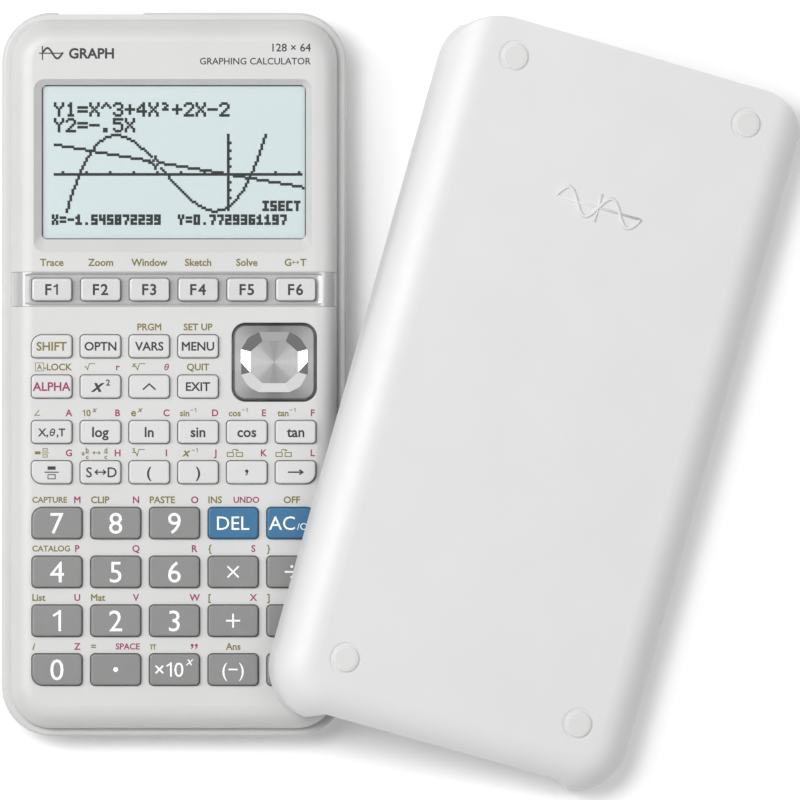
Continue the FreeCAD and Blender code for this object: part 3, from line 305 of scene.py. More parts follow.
ink_magenta = printed("ink_magenta", INK_MAGENTA)
dot_dark = moulded(
    "dot_dark", (0.002, 0.003, 0.004, 1), 0.7, grain=0.0, mottle=0.15, specular=0.1
)
screw_steel = metal("screw_steel", (0.45, 0.45, 0.46, 1), 0.3, 900.0, (1.0, 1.0, 0.1))
contact_steel = metal("contact_steel", (0.62, 0.6, 0.56, 1), 0.3, 900.0, (1.0, 0.1, 1.0))

# ---------------------------------------------------------------- carried-over nodes

FUNCTION_KEYS = tuple(f"key_f{number}" for number in range(1, 7))

KEYS = sorted(name for name in nodes if name.startswith("key_") and name != "key_mat")
KEY_FINISHES = {"key_grey": key_grey, "key_blue": key_blue}

for name in KEYS:
    other = KEY_FINISHES.get(slot_of(name), key_light)
    dress(nodes[name], soft_key if name in FUNCTION_KEYS else other)

cells_low, cells_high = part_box("batteries")
pad_low, pad_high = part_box("cursor_pad")
pad_centre = Vector(((pad_low.x + pad_high.x) / 2, (pad_low.y + pad_high.y) / 2, 0))
just_under_table = pad_high.z - 0.02 * MM
for name, material in (
    ("front_case", case_white), ("rear_case", case_white), ("battery_cover", case_white),
    ("function_key_strip", gloss_white), ("display_window", clear_pane()),
    ("display_cell", display_film()), ("slide_cover", cover_white),
    ("key_mat", rubber_grey), ("cursor_pivot", rubber_grey),
    ("case_screws", screw_steel), ("battery_contacts", contact_steel),
    ("main_board", board_mask(BOARD_LOW)),
    ("batteries", battery_sleeve(cells_low.y, cells_high.y)),
    ("cursor_pad", pad_silver(pad_centre, PAD_PLATE_TOP, just_under_table)),
):
    dress(nodes[name], material)

# ---------------------------------------------------------------- printing


def glyphs(words, cap, slant=0.0, weight=0.0):
    """A closed slab of lettering, cap metres high; weight makes its strokes bolder."""
    if words in DRAWN_GLYPHS:
        return DRAWN_GLYPHS[words](cap, weight)
    cap_share = 0.7  # of the typeface's size
    text_depth = 0.01
    text = bpy.data.curves.new("words", "FONT")
    text.body = words
    text.size = 1.0
    text.resolution_u = 3
    text.shear = slant
    text.fill_mode = "BOTH"
    text.bevel_depth = weight
    text.bevel_resolution = 0
    text.extrude = text_depth
    holder = bpy.data.objects.new("words", text)
    bpy.context.scene.collection.objects.link(holder)
    bpy.context.view_layer.update()
    mesh = bpy.data.meshes.new_from_object(holder)
    bpy.data.objects.remove(holder)
    bpy.data.curves.remove(text)
    slab = bmesh.new()
    slab.from_mesh(mesh)
    bpy.data.meshes.remove(mesh)
    size = cap / cap_share
    thin = PRINT / 2 / (text_depth + weight)
    bmesh.ops.scale(slab, vec=(size, size, thin), verts=slab.verts)
    bmesh.ops.remove_doubles(slab, verts=slab.verts, dist=1e-6)
    return slab


def figure_one(cap, weight):
    """The figure 1 with a flag and no foot."""
    width = (0.12 + 2 * weight) * cap
    slab = bmesh.new()
    stroke(slab, 0, width / 2, 0, cap - width / 2, width)
    stroke(slab, -0.26 * cap, cap * 0.76, 0, cap - width * 0.6, width * 0.9)
    return slab


def letter_theta(cap, weight):
    """A leaning theta: a narrow ring of short strokes with a bar."""
    slab = bmesh.new()
    width, sides = (0.1 + 2 * weight) * cap, 20
    ring = []
    for number in range(sides + 1):
        turn = 2 * math.pi * number / sides
        rise = (cap - width) / 2 * math.sin(turn)
        ring.append((0.27 * cap * math.cos(turn) + 0.22 * rise, cap / 2 + rise))
    for start, end in zip(ring, ring[1:]):
        stroke(slab, *start, *end, width)
    stroke(slab, -0.25 * cap, cap / 2, 0.25 * cap, cap / 2, width)
    return slab


def letter_pi(cap, weight):
    """A small pi: a top bar on two legs."""
    slab = bmesh.new()
    width = (0.11 + 2 * weight) * cap
    stroke(slab, -0.42 * cap, 0.72 * cap, 0.42 * cap, 0.72 * cap, width)
    stroke(slab, -0.2 * cap, 0.7 * cap, -0.26 * cap, width / 2, width)
    stroke(slab, 0.2 * cap, 0.7 * cap, 0.22 * cap, width / 2, width)
    return slab


DRAWN_GLYPHS = {"1": figure_one, "θ": letter_theta, "π": letter_pi}


def extent(shape, axis):
    """The lowest and the highest coordinate of a shape along an axis."""
    values = [v.co[axis] for v in shape.verts]
    return min(values), max(values)


def add(target, shape, offset=(0, 0, 0)):
    """Moves a shape and adds it to another, then frees it."""
    bmesh.ops.translate(shape, vec=Vector(offset), verts=shape.verts)
    mesh = bpy.data.meshes.new("part")
    shape.to_mesh(mesh)
    shape.free()
    target.from_mesh(mesh)
    bpy.data.meshes.remove(mesh)


LETTER_GAP = 0.16  # between the parts of a line, as a share of its cap height


def line_of(parts, cap, weight=0.012):
    """One line of lettering. Each part is words, or words with a size, a rise and a slant."""
    line = bmesh.new()
    reach = 0.0
    for part in [(parts,)] if isinstance(parts, str) else parts:
        words, size, rise, slant = part + (1.0, 0.0, 0.0)[len(part) - 1:]
        slab = glyphs(words, cap * size, slant, weight)
        low, high = extent(slab, 0)
        add(line, slab, (reach - low, rise * cap, 0))
        reach += high - low + LETTER_GAP * cap
    return line


def place(target, line, x, y, cap, anchor="centre"):
    """Puts a line of lettering with its cap height centred on y, and x at its anchor."""
    low, high = extent(line, 0)
    shift = {"centre": -(low + high) / 2, "left": -low, "right": -high}[anchor]
    add(target, line, (x + shift, y - cap / 2, 0))


def stroke(target, x0, y0, x1, y1, width):
    """A straight printed stroke between two points, with square ends."""
    start, end = Vector((x0, y0, 0)), Vector((x1, y1, 0))
    run = end - start
    bar = bmesh.new()
    bmesh.ops.create_cube(bar, size=1.0)
    bmesh.ops.scale(bar, vec=(run.length + width, width, PRINT), verts=bar.verts)
    turn = Matrix.Rotation(math.atan2(run.y, run.x), 3, "Z")
    bmesh.ops.rotate(bar, cent=(0, 0, 0), matrix=turn, verts=bar.verts)
    # strokes take turns at four heights, so that crossing ones seldom share a plane
    lift = len(target.verts) // 8 % 4 * PRINT * 0.1
    add(target, bar, (start + end) / 2 + Vector((0, 0, lift)))


def strokes(target, points, x, y, width, scale=MM):
    """Strokes from each point to the next; points are counted from x and y, in steps of scale."""
    for (x0, y0), (x1, y1) in zip(points, points[1:]):
        stroke(target, x + x0 * scale, y + y0 * scale, x + x1 * scale, y + y1 * scale, width)


def disc_of(radius, thick, segments):
    """A flat round disc, centred on the origin."""
    disc = bmesh.new()
    bmesh.ops.create_cone(
        disc, cap_ends=True, segments=segments, radius1=radius, radius2=radius, depth=thick
    )
    return disc


def spot(target, x, y, radius):
    """A round printed dot."""
    add(target, disc_of(radius, PRINT, 24), (x, y, 0))


def double_arrow(target, x, y, half, head, width):
    """An arrow with a head at both ends."""
    stroke(target, x - half, y, x + half, y, width)
    for side in (-1, 1):
        for way in (-1, 1):
            stroke(target, x + side * half, y, x + side * (half - head), y + way * head, width)


def comma(target, x, y, scale):
    """A round comma with a tail."""
    unit = MM * scale
    spot(target, x, y + 0.25 * unit, 0.42 * unit)
    strokes(target, ((0.2, 0.15), (0.14, -0.3), (-0.2, -0.65)), x, y, 0.26 * unit, unit)


def outline(target, x, y, width, height, thick):
    """A printed rectangle outline."""
    corners = ((-0.5, -0.5), (0.5, -0.5), (0.5, 0.5), (-0.5, 0.5), (-0.5, -0.5))
    strokes(target, [(w * width, h * height) for w, h in corners], x, y, thick, 1.0)


def finished(shape, name, material, body, level=0.0):
    """Turns a shape into a named piece at that height, on a body of the frame."""
    bmesh.ops.translate(shape, vec=(0, 0, level), verts=shape.verts)
    mesh = bpy.data.meshes.new(name)
    shape.to_mesh(mesh)
    shape.free()
    piece = bpy.data.objects.new(name, mesh)
    bpy.context.scene.collection.objects.link(piece)
    mesh.materials.append(material)
    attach(piece, body)
    return piece


def on_top(level):
    """The height of the middle of the ink that lies on a face."""
    return level + PRINT / 2 - SINK


# ---------------------------------------------------------------- key legends

# cap heights: the figures, words on the wide keys, and words on the small keys
BIG, MEDIUM, SMALL = 5.1 * MM, 3.3 * MM, 2.4 * MM
F_CAP, WORD, BRACKET, POWER_OF_TEN = 2.6 * MM, 2.05 * MM, 2.5 * MM, 3.5 * MM
BOLD_BELOW = 2.7 * MM  # smaller words are printed a little bolder
SIGN_WIDTH, THIN_SIGN_WIDTH = 0.42 * MM, 0.36 * MM

# each key's words, or its parts as line_of takes them, and their cap height
PLAIN_LEGENDS = {
    **{name: ([("F",), (name[-1],)], F_CAP) for name in FUNCTION_KEYS},
    "key_shift": ("SHIFT", WORD), "key_alpha": ("ALPHA", WORD), "key_option": ("OPTN", WORD),
    "key_variables": ("VARS", WORD), "key_menu": ("MENU", WORD), "key_exit": ("EXIT", WORD),
    "key_log": ("log", SMALL), "key_natural_log": ("ln", SMALL), "key_sine": ("sin", SMALL),
    "key_cosine": ("cos", SMALL), "key_tangent": ("tan", SMALL),
    "key_open_bracket": ("(", BRACKET), "key_close_bracket": (")", BRACKET),
    "key_variable_x": ([("X,", 0.9), ("θ", 0.9, 0.0, 0.25), (",T", 0.9)], WORD),
    "key_square": ([("x", 1.5, -0.1, 0.35), ("2", 0.7, 0.62)], WORD),
    "key_seven": ("7", BIG), "key_eight": ("8", BIG), "key_nine": ("9", BIG),
    "key_four": ("4", BIG), "key_five": ("5", BIG), "key_six": ("6", BIG),
    "key_one": ("1", BIG), "key_two": ("2", BIG), "key_three": ("3", BIG),
    "key_zero": ("0", BIG), "key_delete": ("DEL", MEDIUM),
    "key_clear": ([("AC", 1.0), ("/ON", 0.5)], MEDIUM),
    "key_negate": ("(−)", MEDIUM), "key_execute": ("EXE", MEDIUM),
    "key_exponent": ([("×",), ("1",), ("0",), ("x", 0.62, 0.8, 0.3)], POWER_OF_TEN),
}


def drawn_legend(name, x, y):
    """Legends that are signs rather than words."""
    sign = bmesh.new()
    arm = 1.5
    if name in ("key_plus", "key_minus", "key_divide"):
        strokes(sign, ((-arm, 0), (arm, 0)), x, y, SIGN_WIDTH)
    if name == "key_plus":
        strokes(sign, ((0, -arm), (0, arm)), x, y, SIGN_WIDTH)
    elif name == "key_multiply":
        for way in (-1, 1):
            strokes(sign, ((-1.2, -1.2 * way), (1.2, 1.2 * way)), x, y, SIGN_WIDTH)
    elif name == "key_divide":
        for way in (-1, 1):
            spot(sign, x, y + way * 1.3 * MM, 0.36 * MM)
    elif name == "key_point":
        spot(sign, x, y, 0.6 * MM)
    elif name == "key_power":
        for way in (-1, 1):
            strokes(sign, ((way * 1.4, -0.65), (0, 0.6)), x, y, 0.38 * MM)
    elif name == "key_comma":
        comma(sign, x, y, 1.0)
    elif name == "key_store":
        strokes(sign, ((-1.7, 0), (arm, 0)), x, y, THIN_SIGN_WIDTH)
        for way in (-1, 1):
            strokes(sign, ((1.05, way * 0.5), (1.75, 0)), x, y, THIN_SIGN_WIDTH)
    elif name == "key_convert":
        for words, shift in (("S", -2.75 * MM), ("D", 2.85 * MM)):
            place(sign, line_of(words, SMALL), x + shift, y, SMALL)
        double_arrow(sign, x, y, 1.25 * MM, 0.5 * MM, 0.32 * MM)
    elif name == "key_fraction":
        strokes(sign, ((-1.6, 0), (1.6, 0)), x, y, 0.26 * MM)
        strokes(sign, ((-0.55, 1.0), (0.55, 1.0)), x, y, 0.85 * MM)
        outline(sign, x, y - 1.1 * MM, 1.75 * MM, 1.0 * MM, 0.22 * MM)
    return sign


def legend_ink(name):
    """The ink of a key's legend, and the name of its slot."""
    if name == "key_shift":
        return ink_gold, "ink_gold"
    if name == "key_alpha":
        return ink_magenta, "ink_magenta"
    return (ink_dark, "ink_dark") if slot_of(name) == "key_light" else (ink_white, "ink_white")


def make_key_legends():
    """The legend on top of each key, as a piece that rides on that key."""
    for name in KEYS:
        low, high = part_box(name)
        x, y = (low.x + high.x) / 2, (low.y + high.y) / 2
        if name in PLAIN_LEGENDS:
            words, cap = PLAIN_LEGENDS[name]
            weight = 0.022 if cap < BOLD_BELOW else 0.0
            legend = bmesh.new()
            place(legend, line_of(words, cap, weight), x, y, cap)
        else:
            legend = drawn_legend(name, x, y)
        ink, slot = legend_ink(name)
        finished(legend, f"legend_{name[4:]}", ink, name, on_top(high.z))


make_key_legends()

# ---------------------------------------------------------------- panel legends

TINY = 1.6 * MM
BOLD = 0.024
ICON_WIDTH = 0.2 * MM
# the keys whose middles place the words above the columns of small and of wide keys
SMALL_COLUMNS = ("variable_x", "log", "natural_log", "sine", "cosine", "tangent")
WIDE_COLUMNS = ("seven", "eight", "nine", "delete", "clear")
# the middles of the lines of words above the rows of small keys
SOFT_LINE, MENU_LINE, EXIT_LINE, TRIG_LINE, BRACKET_LINE = (
    level * MM for level in (26.95, 11.3, 1.6, -9.5, -19.2)
)
# each line above the wide keys: its middle in millimetres, then its gold and magenta words
WIDE_LINES = (
    (-30.55, (("CAPTURE", "M"), ("CLIP", "N"), ("PASTE", "O"), ("INS", "UNDO"), (None, None))),
    (-42.35, (("CATALOG", "P"), (None, "Q"), (None, "R"), ("{", "S"), ("}", None))),
    (-54.2, (("List", "U"), ("Mat", "V"), (None, "W"), ("[", "X"), ("]", None))),
    (-66.05, (([("i", 1.0, 0.0, 0.3)], "Z"), ("=", "SPACE"), ("π", None))),
)
LONG_GOLD = ("CAPTURE", "CATALOG")
LONG_MAGENTA = {"UNDO": 3.2 * MM, "SPACE": 2.9 * MM}  # with their shifts


def column(name):
    """The middle of a key, from left to right."""
    low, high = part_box(name)
    return (low.x + high.x) / 2


def square_root(target, x, y):
    """A root sign without anything under it."""
    tick = ((-0.9, 0.0), (-0.6, 0.1), (-0.25, -0.7), (0.2, 0.8), (1.5, 0.8))
    strokes(target, tick, x, y, ICON_WIDTH)


def fraction_icon(target, x, y):
    """A filled box before a fraction of two empty ones."""
    strokes(target, ((-0.8, 0), (0.8, 0)), x, y, ICON_WIDTH)
    for side in (1, -1):
        outline(target, x, y + side * 0.75 * MM, 1.05 * MM, 0.6 * MM, 0.18 * MM)
    strokes(target, ((-2.1, 0), (-1.5, 0)), x, y, 0.75 * MM)


def folder_icon(target, x, y):
    """Two small boxes with an arched arrow from one to the other."""
    for side in (-1, 1):
        outline(target, x + side * 1.1 * MM, y - 0.3 * MM, 1.5 * MM, 0.95 * MM, 0.22 * MM)
    strokes(target, ((-0.6, 0.45), (-0.45, 0.85), (0.0, 1.0), (0.5, 0.85)), x, y, 0.18 * MM)
    strokes(target, ((0.35, 0.72), (0.75, 0.72)), x, y, 0.3 * MM)


def make_panel_legends():
    """The words, letters and small signs above the keys, as one piece for each ink."""
    gold, magenta = bmesh.new(), bmesh.new()
    small = [column(f"key_{name}") for name in SMALL_COLUMNS]
    wide = [column(f"key_{name}") for name in WIDE_COLUMNS]

    def gold_words(words, x, y, anchor="centre", cap=TINY):
        place(gold, line_of(words, cap, BOLD), x, y, cap, anchor)

    def letter(words, x, y, cap=TINY):
        place(magenta, line_of(words, cap, BOLD), x, y, cap)

    soft_cap = 1.7 * MM
    for words, x in zip(("Trace", "Zoom", "Window", "Sketch", "Solve"), small):
        gold_words(words, x, SOFT_LINE, cap=soft_cap)
    for words, shift in (("G", -1.85), ("T", 1.85)):
        gold_words(words, small[5] + shift * MM, SOFT_LINE, cap=soft_cap)
    double_arrow(gold, small[5], SOFT_LINE, 0.75 * MM, 0.3 * MM, 0.16 * MM)
    gold_words("PRGM", small[2], MENU_LINE)
    gold_words("SET UP", small[3], MENU_LINE)
    gold_words("-LOCK", small[0] + 1.45 * MM, EXIT_LINE)
    gold_words("A", small[0] - 2.95 * MM, EXIT_LINE, cap=1.2 * MM)
    outline(gold, small[0] - 2.95 * MM, EXIT_LINE, 2.0 * MM, 1.95 * MM, 0.15 * MM)
    square_root(gold, small[1] - 2.9 * MM, EXIT_LINE)
    square_root(gold, small[2] - 2.6 * MM, EXIT_LINE)
    gold_words([("x", 0.8, 0.0, 0.3)], small[2] - 3.7 * MM, EXIT_LINE + 0.8 * MM)
    gold_words("QUIT", small[3], EXIT_LINE)
    letter("r", small[1] + 4.2 * MM, EXIT_LINE)
    letter([("θ", 1.0, 0.0, 0.25)], small[2] + 4.2 * MM, EXIT_LINE)

    for end in ((-2.9, -0.6), (-3.1, 0.6)):
        strokes(gold, ((-4.1, -0.6), end), small[0], TRIG_LINE, ICON_WIDTH)
    shifted = [
        [("1", 0.95), ("0", 0.95), ("x", 0.8, 0.6, 0.3)],
        [("e", 1.15), ("x", 0.85, 0.6, 0.3)],
    ]
    for words in ("sin", "cos", "tan"):
        shifted.append([(words, 0.95), ("−", 0.6, 0.62), ("1", 0.62, 0.6)])
    for words, x in zip(shifted, small[1:]):
        gold_words(words, x - 4.4 * MM, TRIG_LINE, "left")
    for words, x in zip("ABCDEF", small):
        letter(words, x + 4.15 * MM, TRIG_LINE)

    fraction_icon(gold, small[0] - 1.6 * MM, BRACKET_LINE)
    first, second, over, under = -3.2, 1.3, 0.7, -0.9
    for words, shift, rise in (
        ("a", -4.2, 0.0),
        ("b", first, over), ("c", first, under), ("d", second, over), ("c", second, under),
    ):
        gold_words(words, small[1] + shift * MM, BRACKET_LINE + rise * MM, cap=1.15 * MM)
    for shift in (first, second):
        bar = ((shift - 0.45, -0.05), (shift + 0.45, -0.05))
        strokes(gold, bar, small[1], BRACKET_LINE, 0.18 * MM)
    double_arrow(gold, small[1] - 0.95 * MM, BRACKET_LINE, 0.85 * MM, 0.32 * MM, ICON_WIDTH)
    square_root(gold, small[2] - 2.7 * MM, BRACKET_LINE)
    gold_words("3", small[2] - 3.8 * MM, BRACKET_LINE + 0.6 * MM, cap=1.1 * MM)
    inverse = [("x", 1.25, 0.0, 0.3), ("−", 0.6, 0.6), ("1", 0.62, 0.6)]
    gold_words(inverse, small[3] - 3.9 * MM, BRACKET_LINE, "left")
    for x in small[4:]:
        folder_icon(gold, x - 2.9 * MM, BRACKET_LINE - 0.1 * MM)
    for words, x in zip("GHIJKL", small):
        letter(words, x + 4.15 * MM, BRACKET_LINE)

    for level, row in WIDE_LINES:
        for (left, right), x in zip(row, wide):
            if left:
                cap = 1.38 * MM if left in LONG_GOLD else TINY
                gold_words(left, x - 6.0 * MM, level * MM, "left", cap)
            if right:
                cap = 1.45 * MM if right in LONG_MAGENTA else TINY
                letter(right, x + LONG_MAGENTA.get(right, 4.9 * MM), level * MM, cap)
    top_line, last_line = WIDE_LINES[0][0] * MM, WIDE_LINES[-1][0] * MM
    gold_words("OFF", wide[4], top_line)
    for shift in (4.3, 5.3):
        comma(magenta, wide[2] + shift * MM, last_line + 0.05 * MM, 0.85)
    gold_words("Ans", wide[3], last_line)
    level = on_top(CASE_TOP)
    finished(gold, "panel_legends_gold", ink_gold, "calculator", level)
    finished(magenta, "panel_legends_letters", ink_magenta, "calculator", level)


make_panel_legends()


def make_heading():
    """A plain heading: a small graph sign at the left, generic words at the right."""
    heading = bmesh.new()
    x, y, right_end, axis_width = -31.8 * MM, 77.6 * MM, 33.2 * MM, 0.28 * MM
    strokes(heading, ((0, -1.5), (0, 1.6)), x, y, axis_width)
    strokes(heading, ((-0.7, 0), (5.0, 0)), x, y, axis_width)
    steps, length, rise = 18, 4.8, 1.25
    shares = [number / steps for number in range(steps + 1)]
    wave = [(length * share, rise * math.sin(2 * math.pi * share)) for share in shares]
    strokes(heading, wave, x, y, 0.45 * MM)
    for words, cap, weight, x_at, y_at, anchor in (
        ("GRAPH", 2.4 * MM, 0.03, x + 6.4 * MM, y, "left"),
        ("128 × 64", 1.9 * MM, 0.012, right_end, 79.0 * MM, "right"),
        ("GRAPHING CALCULATOR", 1.6 * MM, 0.012, right_end, 75.7 * MM, "right"),
    ):
        place(heading, line_of(words, cap, weight), x_at, y_at, cap, anchor)
    finished(heading, "heading", ink_dark, "calculator", on_top(CASE_TOP))


make_heading()

# ---------------------------------------------------------------- display picture

COLUMNS = 128
DOT = 0.477 * MM  # from one dot to the next
PICTURE_LEFT, PICTURE_TOP = -29.5 * MM, 66.2 * MM
TALL_STEP, SHORT_STEP = 6, 4  # dots from one letter to the next
GRAPH_ROWS = (17, 56)  # the dot rows that the graph may use

# the dot letters, row by row from the top: five dots by seven, and three by five
TALL = {
    "Y": "#...# #...# .#.#. ..#.. ..#.. ..#.. ..#..",
    "1": "..#.. .##.. ..#.. ..#.. ..#.. ..#.. .###.",
    "=": "..... ..... ##### ..... ##### ..... .....",
    "X": "#...# #...# .#.#. ..#.. .#.#. #...# #...#",
    "^": "..#.. .#.#. #...# ..... ..... ..... .....",
    "3": ".###. #...# ....# ..##. ....# #...# .###.",
    "+": "..... ..#.. ..#.. ##### ..#.. ..#.. .....",
    "4": "...#. ..##. .#.#. #..#. ##### ...#. ...#.",
    "²": ".##.. ...#. ..#.. .###. ..... ..... .....",
    "2": ".###. #...# ....# ...#. ..#.. .#... #####",
    "-": "..... ..... ..... ##### ..... ..... .....",
    ".": "..... ..... ..... ..... ..... .##.. .##..",
    "5": "##### #.... ####. ....# ....# #...# .###.",
}
SHORT = {
    "0": "### #.# #.# #.# ###", "1": ".#. ##. .#. .#. ###", "2": "### ..# ### #.. ###",
    "3": "### ..# ### ..# ###", "4": "#.# #.# ### ..# ..#", "5": "### #.. ### ..# ###",
    "6": "### #.. ### #.# ###", "7": "### ..# ..# .#. .#.", "8": "### #.# ### #.# ###",
    "9": "### #.# ### ..# ###", "=": "... ### ... ### ...", "-": "... ... ### ... ...",
    ".": "... ... ... ... .#.", "X": "#.# #.# .#. #.# #.#", "Y": "#.# #.# .#. .#. .#.",
    "I": "### .#. .#. .#. ###", "S": "### #.. ### ..# ###", "E": "### #.. ### #.. ###",
    "C": "### #.. #.. #.. ###", "T": "### .#. .#. .#. .#.",
}
MARKER = "...#... ...#... ..#.#.. ##...## ..#.#.. ...#... ...#..."


def stamp(dots, picture, column_from, row_from):
    """Marks the dots of a small picture."""
    for down, line in enumerate(picture.split()):
        for right, mark in enumerate(line):
            if mark == "#":
                dots.add((column_from + right, row_from + down))


def write(dots, words, font, advance, column_from, row_from):
    """Marks the dots of a line of letters."""
    for number, character in enumerate(words):
        stamp(dots, font[character], column_from + number * advance, row_from)


def plot(dots, function, origin, scale):
    """Marks the dots of a curve, joining neighbouring columns."""
    before = None
    for right in range(1, COLUMNS):
        x = (right - origin[0]) / scale[0]
        row = origin[1] - function(x) * scale[1]
        start = row if before is None else before
        low, high = sorted((round(start), round(row)))
        if high > low:
            low += 1 if row > start else 0
            high -= 0 if row > start else 1
        for down in range(low, high + 1):
            if GRAPH_ROWS[0] <= down <= GRAPH_ROWS[1]:
                dots.add((right, down))
        before = row


def make_picture():
    """The dots that are dark: two equations, their graphs, and where the graphs meet."""
    dots = set()
    write(dots, "Y1=X^3+4X²+2X-2", TALL, TALL_STEP, 1, 1)
    write(dots, "Y2=-.5X", TALL, TALL_STEP, 1, 9)
    # the two axes, their marks, and both curves; scale is in dots for each unit
    origin, scale, mark_steps = (89, 37), (23.9, 8.2), (12, 4.1)
    dots.update((right, origin[1]) for right in range(1, COLUMNS - 1))
    dots.update((origin[0], down) for down in range(*GRAPH_ROWS))
    for step in range(-4, 5):
        dots.add((origin[0] + 1, origin[1] + round(step * mark_steps[1])))
    for step in range(-7, 4):
        if step:
            dots.add((origin[0] + round(step * mark_steps[0]), origin[1] - 1))
    plot(dots, lambda x: x**3 + 4 * x**2 + 2 * x - 2, origin, scale)
    plot(dots, lambda x: -0.5 * x, origin, scale)
    meeting = -1.545872239
    middle = (
        round(origin[0] + meeting * scale[0]),
        round(origin[1] + meeting * 0.5 * scale[1]),
    )
    dots -= {(middle[0] + a, middle[1] + b) for a in range(-2, 3) for b in range(-2, 3)}
    stamp(dots, MARKER, middle[0] - 3, middle[1] - 3)
    write(dots, "ISECT", SHORT, SHORT_STEP, 107, 51)
    write(dots, "X=-1.545872239", SHORT, SHORT_STEP, 0, 58)
    write(dots, "Y=0.7729361197", SHORT, SHORT_STEP, 64, 58)
    picture = bmesh.new()
    face = DOT * 1.42  # neighbours run into each other, as dark cells do
    thick, level = 0.04 * MM, 0.015 * MM
    for right, down in sorted(dots):
        made = bmesh.ops.create_cube(picture, size=1.0)["verts"]
        bmesh.ops.scale(picture, vec=(face, face, thick), verts=made)
        x = PICTURE_LEFT + (right + 0.5) * DOT
        y = PICTURE_TOP - (down + 0.5) * DOT
        bmesh.ops.translate(picture, vec=(x, y, 0), verts=made)
    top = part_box("display_cell")[1].z
    finished(picture, "display_dots", dot_dark, "calculator", top + level)


make_picture()


def make_display_border():
    """The dark printed border behind the edge of the window."""
    low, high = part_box("display_window")
    border = bmesh.new()
    width, height, thick, drop = 63.8 * MM, 37.2 * MM, 0.3 * MM, 0.02 * MM
    x, y = (low.x + high.x) / 2, (low.y + high.y) / 2
    outline(border, x, y, width, height, thick)
    finished(border, "display_border", ink_dark, "calculator", low.z - drop)


make_display_border()

# ---------------------------------------------------------------- hard cover details

# where the cover lies, as the part's source has it: its own origin, then its turn and its tilt
COVER_ORIGIN = Vector((89.3, -7.75, 23.5)) * MM
COVER_TURN, COVER_TILT = math.radians(-15.7), math.radians(13.1)
COVER_PLACE = (
    Matrix.Translation(COVER_ORIGIN)
    @ Matrix.Rotation(COVER_TURN, 4, "Z")
    @ Matrix.Rotation(COVER_TILT, 4, "Y")
)
# the middle of the four feet, up the cover, and how far each is from it
FEET_MIDDLE, FOOT_ACROSS, FOOT_ALONG = 3.6 * MM, 30.0 * MM, 75.5 * MM
CAP_LEVEL = 0.32 * MM


def on_cover(shape, name, material):
    """Turns a shape drawn on the cover's top face into a piece that rides on the cover."""
    bmesh.ops.transform(shape, matrix=COVER_PLACE, verts=shape.verts)
    return finished(shape, name, material, "hard_cover")


def make_foot_caps():
    """The soft discs let into the four moulded feet of the cover."""
    caps = bmesh.new()
    radius, thick, edge = 2.62 * MM, 0.16 * MM, 0.06 * MM
    for sx in (-1, 1):
        for sy in (-1, 1):
            disc = disc_of(radius, thick, 40)
            rim = [e for e in disc.edges if all(v.co.z > 0 for v in e.verts)]
            bmesh.ops.bevel(
                disc, geom=rim, offset=edge, segments=2, affect="EDGES", profile=0.5, material=-1
            )
            add(caps, disc, (sx * FOOT_ACROSS, FEET_MIDDLE + sy * FOOT_ALONG, CAP_LEVEL))
    on_cover(caps, "foot_caps", foot_rubber)


def rounded_line(points, width, height):
    """A raised bead along a line of points, round in section and flattened to its height."""
    path = bpy.data.curves.new("bead", "CURVE")
    path.dimensions = "3D"
    path.bevel_depth = width / 2
    path.bevel_resolution = 3
    path.use_fill_caps = True
    spline = path.splines.new("POLY")
    spline.points.add(len(points) - 1)
    for point, (x, y) in zip(spline.points, points):
        point.co = (x, y, 0, 1)
    holder = bpy.data.objects.new("bead", path)
    bpy.context.scene.collection.objects.link(holder)
    bpy.context.view_layer.update()
    mesh = bpy.data.meshes.new_from_object(holder)
    bpy.data.objects.remove(holder)
    bpy.data.curves.remove(path)
    bead = bmesh.new()
    bead.from_mesh(mesh)
    bpy.data.meshes.remove(mesh)
    bmesh.ops.remove_doubles(bead, verts=bead.verts, dist=1e-7)
    bmesh.ops.recalc_face_normals(bead, faces=bead.faces)
    bmesh.ops.scale(bead, vec=(1, 1, height / (width / 2)), verts=bead.verts)
    return bead


def make_cover_emblem():
    """A raised sign on the cover: a wave on a pair of axes."""
    emblem = bmesh.new()
    middle = FEET_MIDDLE + 46.0 * MM
    half, rise, upright, steps = 11.0 * MM, 2.9 * MM, 3.5 * MM, 60
    turns = [-1 + 2 * number / steps for number in range(steps + 1)]
    wave = [(half * t, rise * math.sin(2 * math.pi * t)) for t in turns]
    add(emblem, rounded_line(wave, 0.95 * MM, 0.38 * MM))
    add(emblem, rounded_line([(-half, 0), (half, 0)], 0.6 * MM, 0.26 * MM))
    add(emblem, rounded_line([(0, -upright), (0, upright)], 0.6 * MM, 0.3 * MM))
    bmesh.ops.translate(emblem, vec=(0, middle, 0), verts=emblem.verts)
    for face in emblem.faces:
        face.smooth = True
    on_cover(emblem, "cover_emblem", cover_white)


make_foot_caps()
make_cover_emblem()

# ---------------------------------------------------------------- floor, light and camera


def make_floor():
    """A wide sheet of white paper, just under the object."""
    half_width = 3.0
    sheet = bmesh.new()
    bmesh.ops.create_grid(sheet, x_segments=1, y_segments=1, size=half_width)
    mesh = bpy.data.meshes.new("floor")
    sheet.to_mesh(mesh)
    sheet.free()
    floor = bpy.data.objects.new("floor", mesh)
    floor.location = (0.055, 0, -0.0001)
    bpy.context.scene.collection.objects.link(floor)
    finish = Finish("floor_paper")
    tint = finish.mix(finish.noise(8.0), (0.86, 0.86, 0.86, 1), (0.83, 0.83, 0.83, 1))
    finish.link(tint, finish.shader.inputs["Base Color"])
    finish.set(Roughness=0.9, Emission_Color=(1, 1, 1, 1), Emission_Strength=0.12)
    mesh.materials.append(finish.material)


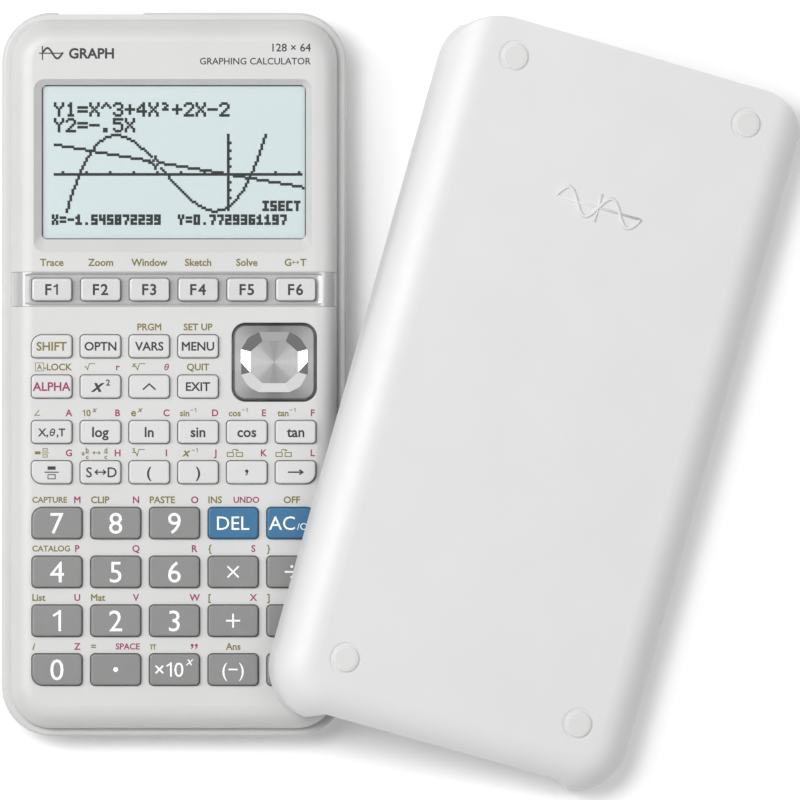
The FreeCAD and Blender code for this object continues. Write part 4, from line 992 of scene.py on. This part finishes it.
def area_light(name, place_at, width, height, power):
    """A soft rectangular panel that faces the middle of the object."""
    lamp = bpy.data.lights.new(name, "AREA")
    lamp.shape = "RECTANGLE"
    lamp.size, lamp.size_y = width, height
    lamp.energy = power
    holder = bpy.data.objects.new(name, lamp)
    holder.location = place_at
    holder.rotation_euler = (MIDDLE - Vector(place_at)).to_track_quat("-Z", "Y").to_euler()
    bpy.context.scene.collection.objects.link(holder)


MIDDLE = Vector((54.8, -6.4, 17.0)) * MM
# each panel's place, width, height and power in watts
PANELS = {
    "overhead_panel": ((-0.38, 0.42, 1.48), 0.6, 0.6, 9.8),
    "left_panel": ((-0.8, 0.24, 1.13), 0.7, 0.9, 11.5),
    "right_panel": ((0.9, 0.15, 1.15), 0.4, 0.8, 3.9),
    "front_panel": ((0.02, -0.86, 0.93), 0.8, 0.7, 1.2),
    "head_panel": ((0.02, 0.86, 0.93), 0.8, 0.7, 0.5),
    "front_left_panel": ((-0.66, -0.66, 0.85), 0.5, 0.5, 0.5),
    "front_right_panel": ((0.7, -0.66, 0.85), 0.5, 0.5, 0.5),
}

make_floor()
for name, settings in PANELS.items():
    area_light(name, *settings)
world = bpy.data.worlds.new("studio")
world.use_nodes = True
world.node_tree.nodes["Background"].inputs["Color"].default_value = (1, 1, 1, 1)
world.node_tree.nodes["Background"].inputs["Strength"].default_value = 0.22
bpy.context.scene.world = world
bpy.context.scene.view_settings.view_transform = "Standard"

DISTANCE = 4.0
VIEW_WIDTH = 193.7 * MM
ELEVATION = math.radians(89)
SENSOR_WIDTH = 36.0
camera_data = bpy.data.cameras.new("camera")
camera_data.sensor_width = SENSOR_WIDTH
camera_data.lens = SENSOR_WIDTH * DISTANCE / VIEW_WIDTH
camera_data.clip_end = 20.0
camera = bpy.data.objects.new("camera", camera_data)
offset = Vector((0, -math.cos(ELEVATION), math.sin(ELEVATION))) * DISTANCE
camera.location = MIDDLE + offset
camera.rotation_euler = (-offset).to_track_quat("-Z", "Y").to_euler()
bpy.context.scene.collection.objects.link(camera)
bpy.context.scene.camera = camera
